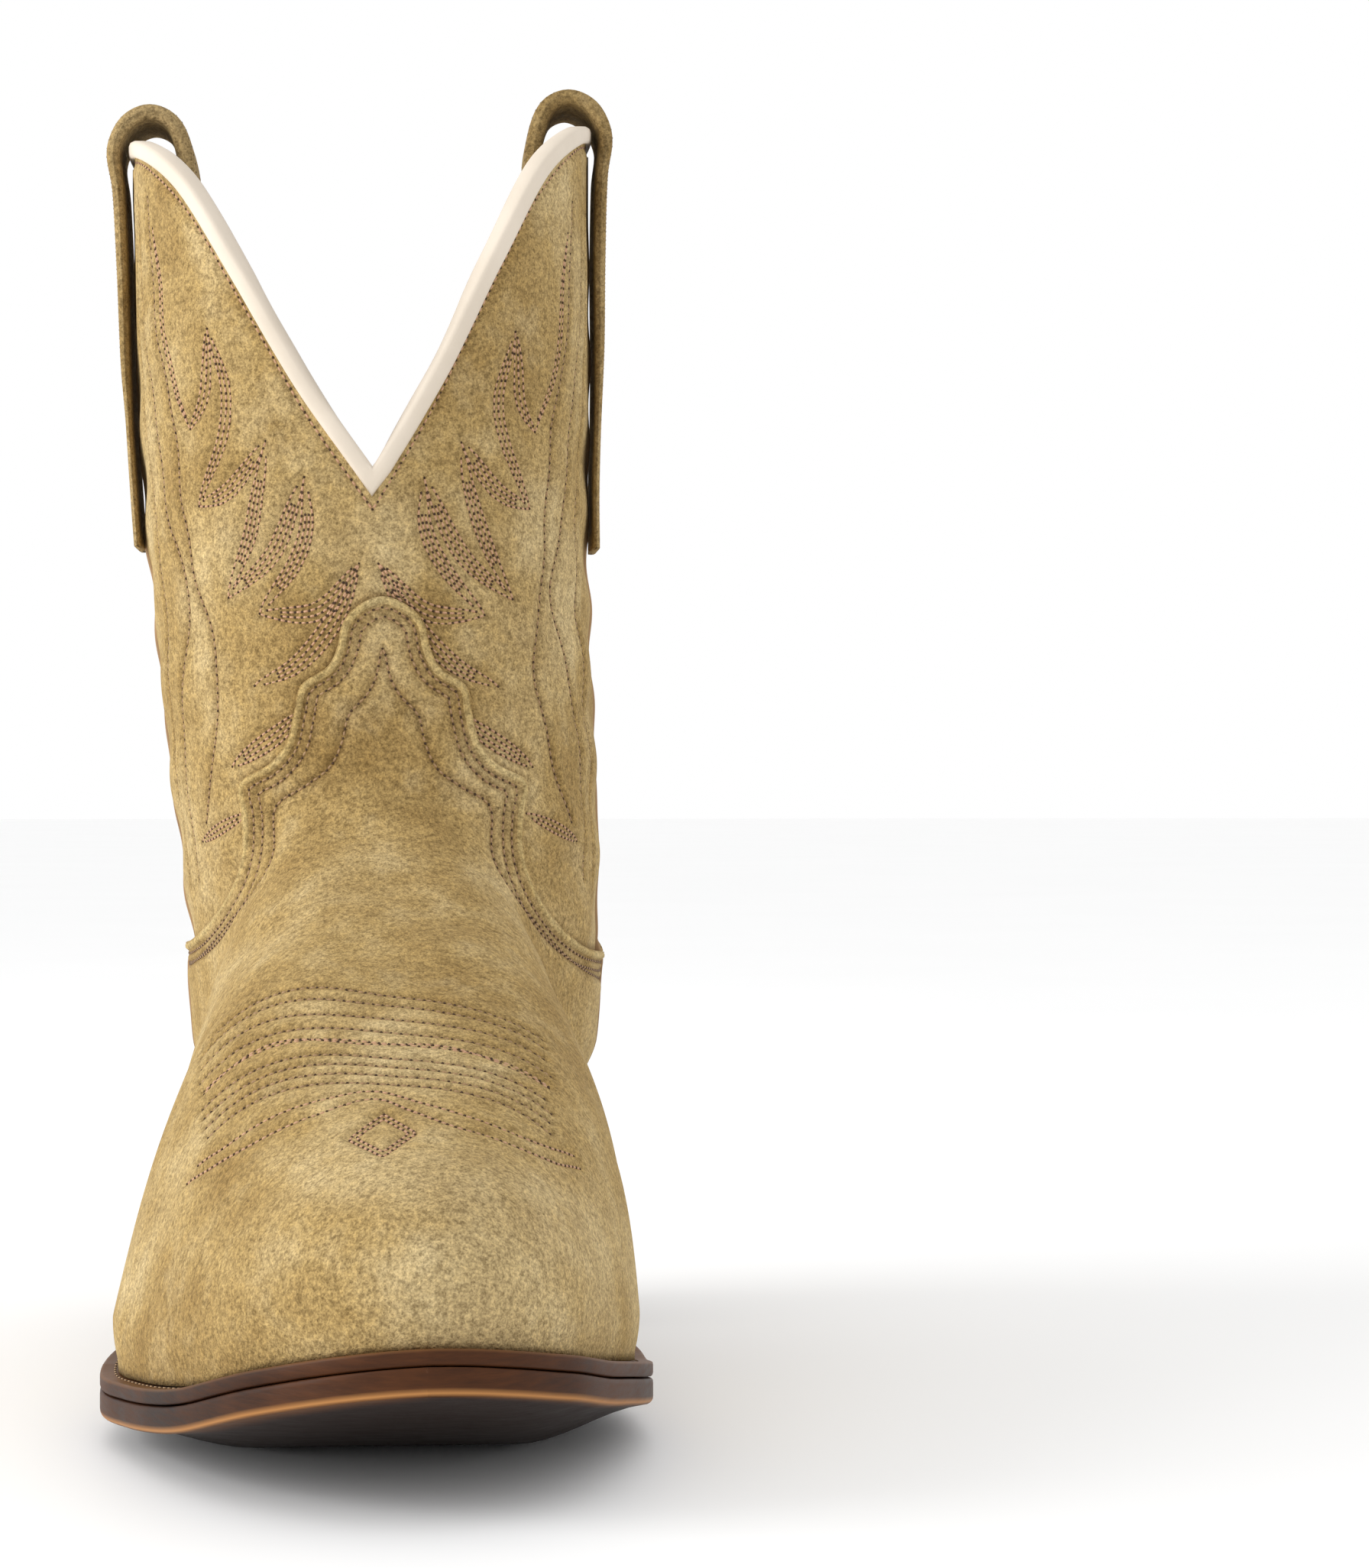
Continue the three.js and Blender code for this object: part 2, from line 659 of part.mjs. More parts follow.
// Top edge of the heel counter, seen from the side.
function counterRegion(drop) {
  const edge = curveThrough([[72, 83.5], [95, 87], [115, 97], [128, 110], [140, 116]]);
  const stations = [72, 84, 95, 105, 115, 122, 128, 134, 140];
  const line = stations.map((y) => [y, edge(y) - drop]);
  const start = line[0][1];
  const end = line[line.length - 1][1];
  const outline = [[-FAR, start], ...line, [FAR, end], [FAR, -FAR], [-FAR, -FAR]];
  return prism(outline, 'x', -FAR, FAR);
}

// The room inside the lasted margins, where the leather is cut away.
const MARGIN_ROOM = footPlate(() => -MARGIN, -2 * WELT, INSOLE_HIGH - 1);

function vamp() {
  return layer(OUTER_FACE, OUTER_BACK).intersect(FRONT).intersect(frontRegion(TONGUE))
    .subtract(MARGIN_ROOM);
}

function heelCounter() {
  return layer(OUTER_FACE, OUTER_BACK).intersect(BACK).intersect(counterRegion(0))
    .subtract(MARGIN_ROOM);
}

function shaftFront() {
  return layer(PANEL_FACE, PANEL_BACK).intersect(FRONT).intersect(belowTopLine(FOLD + GAP))
    .subtract(frontRegion(LAP));
}

function shaftBack() {
  return layer(PANEL_FACE, PANEL_BACK).intersect(BACK).intersect(belowTopLine(FOLD + GAP))
    .subtract(counterRegion(MARGIN));
}

// The stiffener wraps the heel from the level of the insole up.
function heelStiffener() {
  const aboveInsole = block(-FAR, FAR, -FAR, FAR, STIFFENER_FOOT_Z, FAR);
  return layer(PANEL_FACE, STIFF_BACK).intersect(BACK).intersect(counterRegion(MARGIN + 1))
    .intersect(aboveInsole);
}

function toePuff() {
  const overToes = block(-FAR, FAR, -FAR, PUFF_BACK_Y, -FAR, FAR);
  return layer(PANEL_FACE, STIFF_BACK).intersect(overToes).subtract(MARGIN_ROOM);
}

function vampLining() {
  return layer(LINING_FACE, LINING_BACK).intersect(FRONT_HALF).intersect(frontRegion(LAP, 6))
    .subtract(MARGIN_ROOM);
}

function shaftLiningFront() {
  return layer(LINING_FACE, LINING_BACK).intersect(FRONT_HALF).intersect(belowTopLine(FOLD + GAP))
    .subtract(frontRegion(LAP, 6 - GAP));
}

function shaftLiningBack() {
  return layer(LINING_FACE, LINING_BACK).intersect(BACK_HALF).intersect(belowTopLine(FOLD + GAP))
    .subtract(MARGIN_ROOM);
}

// A strip folded over the edges of panel and lining.
function topBinding(half) {
  const strip = layer(BINDING_FACE, BINDING_BACK)
    .intersect(belowTopLine(0))
    .subtract(belowTopLine(BINDING));
  const fold = layer(GAP, LINING_BACK - GAP).intersect(belowTopLine(FOLD));
  return strip.subtract(fold).intersect(half);
}

// The strip sewn into a side seam. side is -1 outside and 1 inside.
function sidePiping(side) {
  const y0 = SEAM_Y - SEAM_HALF;
  const y1 = SEAM_Y + SEAM_HALF;
  const x0 = side < 0 ? -FAR : 0;
  const top = (side < 0 ? PEAK_OUTER_Z : PEAK_INNER_Z) - BINDING - 2;
  const overlap = 0.05;
  const upper = block(x0, x0 + FAR, y0, y1, PIPING_STEP_Z, top);
  const lower = block(x0, x0 + FAR, y0, y1, PIPING_FOOT_Z, PIPING_STEP_Z + overlap);
  return layer(PIPING_FACE, PANEL_BACK).intersect(upper)
    .add(layer(PIPING_LOW_FACE, PANEL_BACK).intersect(lower));
}

// ---------- pull straps ----------

// Each strap is [height, how far out from the shaft side, half its thickness] along its
// middle, from the sewn end outside, over the top edge and down to the sewn end inside.
const STRAP = [
  [171, 1.9, 0.8], [184, 1.9, 0.8], [198, 2, 0.8], [214, 2.2, 1.1], [234, 2.4, 1.3],
  [252, 3, 1.4], [260.5, 3.8, 1.6], [266.4, 0.7, 1.8], [268.4, -4, 1.8], [266.4, -8.6, 1.8],
  [259, -11.4, 1.9], [247, -12, 1.7], [232, -11, 1.6], [216, -8.4, 1.4], [204, -6.2, 0.9],
  [198, -5.8, 0.8],
];
const STRAP_WIDTH = 26;

function pullStrap(side) {
  const settle = side < 0 ? PEAK_INNER_Z - PEAK_OUTER_Z : 0;
  const middle = new THREE.CatmullRomCurve3(STRAP.map(([height, out, half]) => {
    const z = height > 200 ? height - settle : height;
    const wall = legCentre(z) + side * legHalfWidth(z);
    return new THREE.Vector3(wall + side * out, z, half);
  }), false, 'centripetal');
  const steps = 28;
  const faces = [[], []];
  for (let i = 0; i <= steps; i += 1) {
    const p = middle.getPointAt(i / steps);
    const along = middle.getTangentAt(i / steps).setZ(0).normalize();
    faces[0].push([p.x - along.y * p.z, p.y + along.x * p.z]);
    faces[1].push([p.x + along.y * p.z, p.y - along.x * p.z]);
  }
  const outline = [...faces[0], ...faces[1].reverse()];
  return prism(outline, 'y', SEAM_Y - STRAP_WIDTH / 2, SEAM_Y + STRAP_WIDTH / 2);
}

// ---------- materials and assembly ----------

const SUEDE = { color: 0xb59f6b, roughness: 0.95, metalness: 0 };
const CREAM = { color: 0xe6dac9, roughness: 0.55, metalness: 0 };
const LINING = { color: 0x4b3e3e, roughness: 0.8, metalness: 0 };
const DARK_LEATHER = { color: 0x3a2115, roughness: 0.5, metalness: 0 };
const STACKED = { color: 0x4a2b18, roughness: 0.5, metalness: 0 };
const BOARD = { color: 0x9a7a55, roughness: 0.8, metalness: 0 };
const CORK = { color: 0x9b7446, roughness: 0.95, metalness: 0 };
const STEEL = { color: 0x9a9ea3, roughness: 0.35, metalness: 1 };
const RUBBER = { color: 0x1c1714, roughness: 0.8, metalness: 0 };

const group = new THREE.Group();

function add(name, solid, look) {
  const { vertProperties, triVerts, numProp } = solid.getMesh();
  const positions = new Float32Array((vertProperties.length / numProp) * 3);
  for (let i = 0; i < positions.length / 3; i += 1) {
    for (let k = 0; k < 3; k += 1) positions[3 * i + k] = vertProperties[numProp * i + k];
  }
  const geometry = new THREE.BufferGeometry();
  geometry.setAttribute('position', new THREE.BufferAttribute(positions, 3));
  geometry.setIndex(Array.from(triVerts));
  geometry.computeVertexNormals();
  const mesh = new THREE.Mesh(geometry, new THREE.MeshStandardMaterial(look));
  mesh.name = name;
  group.add(mesh);
}

add('outsole', outsole(), DARK_LEATHER);
add('welt', welt(), DARK_LEATHER);
add('heel_seat_rand', heelSeatRand(), DARK_LEATHER);
add('bottom_filler', bottomFiller(), CORK);
add('shank', shank(), STEEL);
add('insole', insole(), BOARD);
add('sock_liner', sockLiner(), LINING);
add('heel_top_piece', heelTopPiece(), RUBBER);
for (let i = 1; i <= LIFTS; i += 1) add(`heel_lift_${i}`, heelLift(i), STACKED);
nailPlaces().forEach(([x, y], i) => add(`heel_nail_${i + 1}`, nailBody(x, y, 0), STEEL));
add('vamp', vamp(), SUEDE);
add('heel_counter', heelCounter(), SUEDE);
add('shaft_front', shaftFront(), SUEDE);
add('shaft_back', shaftBack(), SUEDE);
add('toe_puff', toePuff(), BOARD);
add('heel_stiffener', heelStiffener(), BOARD);
add('vamp_lining', vampLining(), LINING);
add('shaft_lining_front', shaftLiningFront(), LINING);
add('shaft_lining_back', shaftLiningBack(), LINING);
add('side_piping_outer', sidePiping(-1), SUEDE);
add('side_piping_inner', sidePiping(1), SUEDE);
add('top_binding_front', topBinding(FRONT_HALF), CREAM);
add('top_binding_back', topBinding(BACK_HALF), CREAM);
add('pull_strap_outer', pullStrap(-1), SUEDE);
add('pull_strap_inner', pullStrap(1), SUEDE);

// The origin is the bottom centre of the whole boot's box.
const box = new THREE.Box3().setFromObject(group);
const centre = box.getCenter(new THREE.Vector3());
group.position.set(-centre.x, -centre.y, -box.min.z);

export default group;
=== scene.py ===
"""A suede cowboy boot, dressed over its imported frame.

Lengths are millimetres in the boot's own frame: the toe points along -Y, the inner side of
the foot is +X and the floor is z = 0. to_frame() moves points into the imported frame, in metres.
"""
import math

import bpy
import numpy as np
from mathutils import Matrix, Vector
from mathutils.kdtree import KDTree


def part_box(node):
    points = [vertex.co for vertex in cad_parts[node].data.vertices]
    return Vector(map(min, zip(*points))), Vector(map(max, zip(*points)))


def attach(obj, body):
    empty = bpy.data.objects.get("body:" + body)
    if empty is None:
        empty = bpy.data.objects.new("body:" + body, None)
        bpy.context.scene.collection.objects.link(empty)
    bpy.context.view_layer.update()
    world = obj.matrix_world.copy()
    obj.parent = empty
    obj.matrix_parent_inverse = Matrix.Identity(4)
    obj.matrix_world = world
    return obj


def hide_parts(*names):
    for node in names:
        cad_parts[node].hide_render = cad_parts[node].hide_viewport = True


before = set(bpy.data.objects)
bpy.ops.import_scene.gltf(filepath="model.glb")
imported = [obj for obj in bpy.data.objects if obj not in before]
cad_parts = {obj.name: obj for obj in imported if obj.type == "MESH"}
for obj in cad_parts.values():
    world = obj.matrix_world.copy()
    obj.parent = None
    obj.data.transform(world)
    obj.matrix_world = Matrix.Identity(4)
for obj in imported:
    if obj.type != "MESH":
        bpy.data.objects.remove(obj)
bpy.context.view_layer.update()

# ---------- driving dimensions ----------

TOE_Y = -138
HEEL_Y = 126
SEAM_Y = 73
BALL_BACK_Y = -30
BELLY = 9
TUCK = 1.5
PIVOT_Z = 140
SPINE_RADIUS = 99.6
SPINE_Y = BALL_BACK_Y + SPINE_RADIUS
TOP_Z = 290
GRID_TOP_Z = 268
SOLE_EDGE = 8

# Leather layers: how far the face and the back of each lie outside the boot surface.
OUTER_FACE = 1.9
PANEL_FACE = 0
OVERLAY = (OUTER_FACE, 0.3)
PANEL = (PANEL_FACE, -1.6)
STIFFENING = (PANEL_FACE, -1.3)
LINED = (-2, -3)

# Edges: clearances at the side seams and the top line, and how far layers reach under others.
SEAM_CUT = 1.1
LINING_CUT = 0.15
TOP_CUT = 1.5
LAP = 12
LINING_LAP = 20
LINING_GAP = 0.3
FOLD_RADIUS = 0.85
FOLD_LIFT = 1.45

PEAK_OUTER_Z = 258.5
PEAK_INNER_Z = 263
NOTCH_Z = 184
NOTCH_X = -4.5
SIDE_OUTER_X = -57
SIDE_INNER_X = 42
BINDING = 3.6

STITCH = 1.85

# Directions: towards the toe, the heel, up, and towards the inner side of the foot.
FORWARD = np.array([0.0, -1, 0])
BACKWARD = np.array([0.0, 1, 0])
UPWARD = np.array([0.0, 0, 1])
INWARD = np.array([1.0, 0, 0])
RAY_REACH = 130.0

SIDE_COLUMNS = 190


def frame_shift():
    """The first heel nail stands at (0, 114) in the boot's own frame."""
    low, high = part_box("heel_nail_1")
    return np.array([
        500 * (low[0] + high[0]),
        500 * (low[1] + high[1]) - 114,
        0,
    ])


SHIFT = frame_shift()


def to_frame(points):
    return (np.asarray(points) + SHIFT) / 1000


def unit(vectors):
    return vectors / np.linalg.norm(vectors, axis=-1, keepdims=True)


def rounded_step(share):
    return share * share * (3 - 2 * share)


# ---------- curves ----------

def curve_through(stations):
    """A smooth curve through (position, value) stations that never overshoots them."""
    at, value = np.array(stations, float).T
    chord = np.diff(value) / np.diff(at)
    slope = np.zeros_like(value)
    slope[0] = chord[0]
    slope[-1] = chord[-1]
    before, after = chord[:-1], chord[1:]
    same_way = before * after > 0
    total = np.where(same_way, before + after, 1)
    slope[1:-1] = np.where(same_way, 2 * before * after / total, 0)

    def curve(position):
        p = np.clip(position, at[0], at[-1])
        i = np.clip(np.searchsorted(at, p, side="right") - 1, 0, len(at) - 2)
        width = at[i + 1] - at[i]
        t = (p - at[i]) / width
        a = value[i] * rounded_step(1 - t)
        b = value[i + 1] * rounded_step(t)
        c = slope[i] * width * t * (1 - t) ** 2
        d = slope[i + 1] * width * t * t * (t - 1)
        return a + b + c + d

    return curve


def round_ended(stations):
    """The same for a width that closes to a round end: its square runs smoothly."""
    squared = curve_through([(position, value * value) for position, value in stations])
    return lambda position: np.sqrt(np.maximum(squared(position), 0))


def smooth_line(corners, step=0.6):
    """A soft curve (centripetal Catmull-Rom) through points, as closely spaced points."""
    p = np.array(corners, float)
    p = np.vstack([2 * p[0] - p[1], p, 2 * p[-1] - p[-2]])
    line = []
    for a, b, c, d in zip(p, p[1:], p[2:], p[3:]):
        t1 = max(np.linalg.norm(b - a), 1e-6) ** 0.5
        t2 = t1 + max(np.linalg.norm(c - b), 1e-6) ** 0.5
        t3 = t2 + max(np.linalg.norm(d - c), 1e-6) ** 0.5
        count = max(int(np.linalg.norm(c - b) / step), 2)
        for t in np.linspace(t1, t2, count, endpoint=False):
            ab = a + (b - a) * t / t1
            bc = b + (c - b) * (t - t1) / (t2 - t1)
            cd = c + (d - c) * (t - t2) / (t3 - t2)
            abc = ab + (bc - ab) * t / t2
            bcd = bc + (cd - bc) * (t - t1) / (t3 - t1)
            line.append(abc + (bcd - abc) * (t - t1) / (t2 - t1))
    line.append(p[-2])
    return np.array(line)


def walked_along(points):
    """Distance walked from the first point of a polyline to each of its points."""
    steps = np.linalg.norm(np.diff(points, axis=0), axis=1)
    return np.concatenate([[0], np.cumsum(steps)])


def evenly(points, pitch):
    """The same polyline resampled about every pitch along its length."""
    points = np.asarray(points, float)
    reach = walked_along(points)
    count = max(int(round(reach[-1] / pitch)), 1)
    wanted = np.linspace(0, reach[-1], count + 1)
    return np.stack([np.interp(wanted, reach, column) for column in points.T], 1)


def line_normals(line):
    """Unit normals of a flat polyline, to its right."""
    along = unit(np.gradient(line, axis=0))
    return np.stack([along[:, 1], -along[:, 0]], 1)


# ---------- foot and leg volumes ----------

feather_line = curve_through([
    (-144, 30), (TOE_Y, 28.2), (-126, 24.9), (-105, 19.7), (-90, 17.3), (-74, 15.2), (-58, 13.5),
    (-45, 12.8), (-30, 13.4), (0, 18), (30, 28), (60, 40), (85, 46), (110, 48.5), (138, 50),
])
toe_twist = curve_through([(TOE_Y, 1), (-104, 2), (-74, 1.2), (-45, 0)])
tread_line = curve_through([
    (-144, 22), (-130, 17.3), (-105, 9.2), (-85, 4), (-68, 0.9), (-56, 0), (-36, 0), (-15, 4.4),
    (5, 12), (25, 18), (60, 32), (85, 38), (110, 40.5), (138, 42),
])
foot_half_width = round_ended([
    (TOE_Y, 0), (-128, 19), (-120, 25.5), (-108, 31.5), (-90, 38), (-75, 42.3), (-55, 46.2),
    (-40, 46.6), (-15, 43.6), (15, 37.5), (45, 32.5), (75, 29), (100, 27), (115, 20),
    (HEEL_Y, 0),
])
foot_centre = curve_through([
    (TOE_Y, 5.3), (-108, 0.8), (-75, -1.6), (-45, -3.6), (0, -3.6), (40, -2), (80, 0),
    (HEEL_Y, 0),
])
foot_roof = round_ended([
    (TOE_Y, 0), (-125, 19.5), (-105, 31), (-85, 41), (-60, 53.4), (-35, 65.2), (-12, 73.5),
    (10, 81), (40, 80), (70, 70), (HEEL_Y, 60),
])
foot_squareness = curve_through([(TOE_Y, 2.2), (-100, 2.5), (-60, 3), (-20, 2.9), (30, 2.3)])
outer_lean = curve_through([(TOE_Y, 0.1), (-90, 0.2), (-55, 0.3), (-20, 0.28), (20, 0.1)])
INNER_LEAN = 0.1

leg_front = curve_through([
    (40, 30), (50, 22), (65, 14), (82, 10), (100, 9), (125, 11), (150, 12.5), (180, 12.5),
    (215, 11), (262, 8), (TOP_Z, 6),
])
leg_back = curve_through([
    (40, 131), (50, 133), (65, 135.5), (82, 135.5), (100, 133), (125, 130), (150, 130),
    (180, 131.5), (215, 133.5), (262, 136), (TOP_Z, 137),
])
leg_half_width = curve_through([
    (40, 30), (50, 33), (58, 38.8), (65, 41.6), (82, 42.8), (100, 44.4), (125, 45.8),
    (150, 46.6), (180, 47.6), (215, 48.7), (262, 48.9), (TOP_Z, 48.9),
])
leg_centre = curve_through([
    (40, 0), (82, 0.2), (100, -0.6), (125, -2.5), (150, -4.3), (180, -6.2), (215, -6.8),
    (262, -7.4), (TOP_Z, -7.6),
])
leg_squareness = curve_through([(40, 2.4), (60, 2.4), (120, 2.15), (TOP_Z, 2.15)])


def feather_height(x, y):
    return feather_line(y) + toe_twist(y) * x / 40


def feather_under(p):
    return feather_height(p[..., 0], p[..., 1])


def outside_oval(a, b, half_a, half_b, power):
    norm = (np.abs(a / half_a) ** power + np.abs(b / half_b) ** power) ** (1 / power)
    return np.hypot(a, b) * (1 - 1 / np.maximum(norm, 1e-6))


def outside_foot(x, y, z):
    half_width = foot_half_width(y)
    closed = half_width < 0.01
    half_width = np.maximum(half_width, 0.01)
    rise = z - feather_height(x, y) - BELLY
    across = x - foot_centre(y)
    roof = np.maximum(foot_roof(y), 0.01)
    lean = np.where(across < 0, outer_lean(y), INNER_LEAN) * np.clip(rise / roof, 0, 1)
    lift = np.maximum(rise, 0)
    above = outside_oval(across, lift, half_width * (1 - lean), roof, foot_squareness(y))
    below = np.abs(across) - half_width + TUCK * (rise / BELLY) ** 2
    return np.where(closed, 10, np.where(rise > 0, above, below))


def outside_leg(x, y, z):
    middle = (leg_front(z) + leg_back(z)) / 2
    depth = (leg_back(z) - leg_front(z)) / 2
    return outside_oval(x - leg_centre(z), y - middle, leg_half_width(z), depth, leg_squareness(z))


def soft_folds(x, y, z):
    """Shallow rolls in the soft leather of the ankle and shaft, none over the stiff toe."""
    amount = 0.42 * np.clip((z - 68) / 20, 0, 1) * np.clip((250 - z) / 60, 0.3, 1)
    bend = 0.05 * x + 1.4 * np.sin(0.045 * x + 0.03 * y)
    rolls = np.sin(0.3 * z + bend) * np.sin(0.07 * x + 0.09 * y + 0.05 * z)
    dimples = np.sin(0.21 * x - 0.12 * z + 1) * np.sin(0.16 * y + 0.19 * z)
    return amount * (rolls + 0.7 * dimples)


def outside_boot(p):
    """Signed distance, roughly: the foot and leg volumes with a soft hollow between."""
    blend = 11
    x, y, z = p[..., 0], p[..., 1], p[..., 2]
    foot = outside_foot(x, y, z)
    leg = outside_leg(x, y, z)
    near = np.maximum(blend - np.abs(foot - leg), 0) / blend
    return np.minimum(foot, leg) - near * near * blend / 4 - soft_folds(x, y, z)


def surface_normal(p):
    step = 0.4
    normal = np.zeros_like(p)
    for axis, direction in enumerate(np.eye(3)):
        ahead = outside_boot(p + step * direction)
        normal[..., axis] = ahead - outside_boot(p - step * direction)
    return unit(normal)


# ---------- sections of the surface ----------

def level_middle(z):
    """The middle of a level section through the leg."""
    z = np.asarray(z, float)
    return np.stack([leg_centre(z), np.full_like(z, SPINE_Y), z], -1)


def ray_points(middle, ridge, angle):
    """Where rays from section middles meet the surface. angle 0 points along the ridge."""
    ray = ridge * np.cos(angle)[..., None] + INWARD * np.sin(angle)[..., None]
    inside = np.zeros(ray.shape[:-1])
    outside = np.full(ray.shape[:-1], RAY_REACH)
    for _ in range(24):
        reach = (inside + outside) / 2
        hit = outside_boot(middle + ray * reach[..., None]) < 0
        inside = np.where(hit, reach, inside)
        outside = np.where(hit, outside, reach)
    return middle + ray * inside[..., None]


def cast(x, y, z, direction):
    """Where straight rays from the places (x, y, z) inside the boot meet its surface."""
    start = np.stack(np.broadcast_arrays(x, y, z), -1).astype(float)
    return ray_points(start, direction, np.zeros(len(start)))


def fan_middles(turn):
    """Middles and ridges of sections turned down about the pivot over the ball."""
    out = np.stack([np.zeros_like(turn), np.cos(turn), -np.sin(turn)], -1)
    middle = np.array([0, BALL_BACK_Y, PIVOT_Z]) + SPINE_RADIUS * out
    share = np.sin(turn)
    middle[:, 0] = leg_centre(middle[:, 2]) * (1 - share) + foot_centre(middle[:, 1]) * share
    return middle, -out


def all_sections():
    """Section middles, ridges and whether each closes round the back, from the top down."""
    levels = level_middle(np.arange(GRID_TOP_Z, PIVOT_Z, -1.0))
    tip = float(leg_back(feather_line(HEEL_Y) + OUTER_FACE))
    steep = math.atan2(PIVOT_Z - feather_line(tip) - OUTER_FACE, tip - BALL_BACK_Y)
    closed_turn = np.linspace(0, steep, 70)
    heel_y = tip - 45 * np.linspace(0.02, 1, 56) ** 2
    waist_y = np.arange(heel_y[-1] - 1.1, BALL_BACK_Y, -1.1)
    foot_y = np.concatenate([heel_y, waist_y])
    open_turn = np.arctan2(PIVOT_Z - feather_line(foot_y) - OUTER_FACE, foot_y - BALL_BACK_Y)
    fan, fan_ridge = fan_middles(np.concatenate([closed_turn, open_turn]))
    ball_y = np.arange(BALL_BACK_Y, TOE_Y + 26, -0.9)
    toe_y = TOE_Y + 25.5 * np.linspace(1, 0.02, 52) ** 2
    upright_y = np.concatenate([ball_y, toe_y])
    height = feather_line(upright_y) + 0.4 * (BELLY + foot_roof(upright_y))
    upright = np.stack([foot_centre(upright_y), upright_y, height], -1)
    ridges = [np.tile(FORWARD, (len(levels), 1)), fan_ridge, np.tile(UPWARD, (len(upright), 1))]
    middles = np.vstack([levels, fan, upright])
    closed = np.arange(len(middles)) < len(levels) + len(closed_turn)
    return middles, np.vstack(ridges), closed


def feather_angles(middle, ridge, sign):
    """The angle at which each section reaches the feather edge on one side."""
    above = np.full(len(middle), 0.3)
    below = np.full(len(middle), math.pi)
    for _ in range(20):
        angle = (above + below) / 2
        p = ray_points(middle, ridge, sign * angle)
        over = p[:, 2] > feather_under(p) + OUTER_FACE
        above = np.where(over, angle, above)
        below = np.where(over, below, angle)
    return above


def even_angles(middle, ridge, sign, limit):
    """Angles spacing the points of one side evenly from the ridge down."""
    angles = sign * limit[:, None] * np.linspace(0, 1, 61)
    points = ray_points(middle[:, None], ridge[:, None], angles)
    wanted = np.linspace(0, 1, SIDE_COLUMNS + 1)[1:]
    reaches = [walked_along(row) for row in points]
    rows = [np.interp(wanted * reach[-1], reach, a) for reach, a in zip(reaches, angles)]
    return np.array(rows)


def surface_grid():
    """Points, normals and feather flags of the whole boot surface, one row per section."""
    middle, ridge, closed = all_sections()
    sides = []
    for sign in (-1, 1):
        limit = np.where(closed, math.pi, feather_angles(middle, ridge, sign))
        sides.append(even_angles(middle, ridge, sign, limit))
    angles = np.concatenate([sides[0][:, ::-1], np.zeros((len(middle), 1)), sides[1]], 1)
    points = ray_points(middle[:, None], ridge[:, None], angles)
    normals = surface_normal(points)
    columns = points.shape[1]
    feather = np.zeros((len(points), columns), bool)
    feather[~closed, :: columns - 1] = True
    flat = normals[feather]
    flat[:, 2] = 0
    normals[feather] = unit(flat)
    return points, normals, feather, closed


def quads(a, b, c, d):
    """Two triangles for each corner quartet, walked round."""
    first = np.stack([a, b, c], -1).reshape(-1, 3)
    second = np.stack([a, c, d], -1).reshape(-1, 3)
    return np.vstack([first, second])


def grid_triangles(rows, columns, closed_rows):
    """The grid's triangles, with its open end zipped shut at the toe and its split at the heel."""
    i, j = np.meshgrid(np.arange(rows - 1), np.arange(columns - 1), indexing="ij")
    a = i * columns + j
    last = (rows - 1) * columns
    k = np.arange((columns - 1) // 2)
    far = last + columns - 1 - k
    split = closed_rows * columns
    return np.vstack([
        quads(a, a + columns, a + columns + 1, a + 1),
        quads(last + k, far, far - 1, last + k + 1),
        [[split, split - columns, split + columns - 1]],
    ])


GRID_P, GRID_N, GRID_F, GRID_CLOSED = surface_grid()


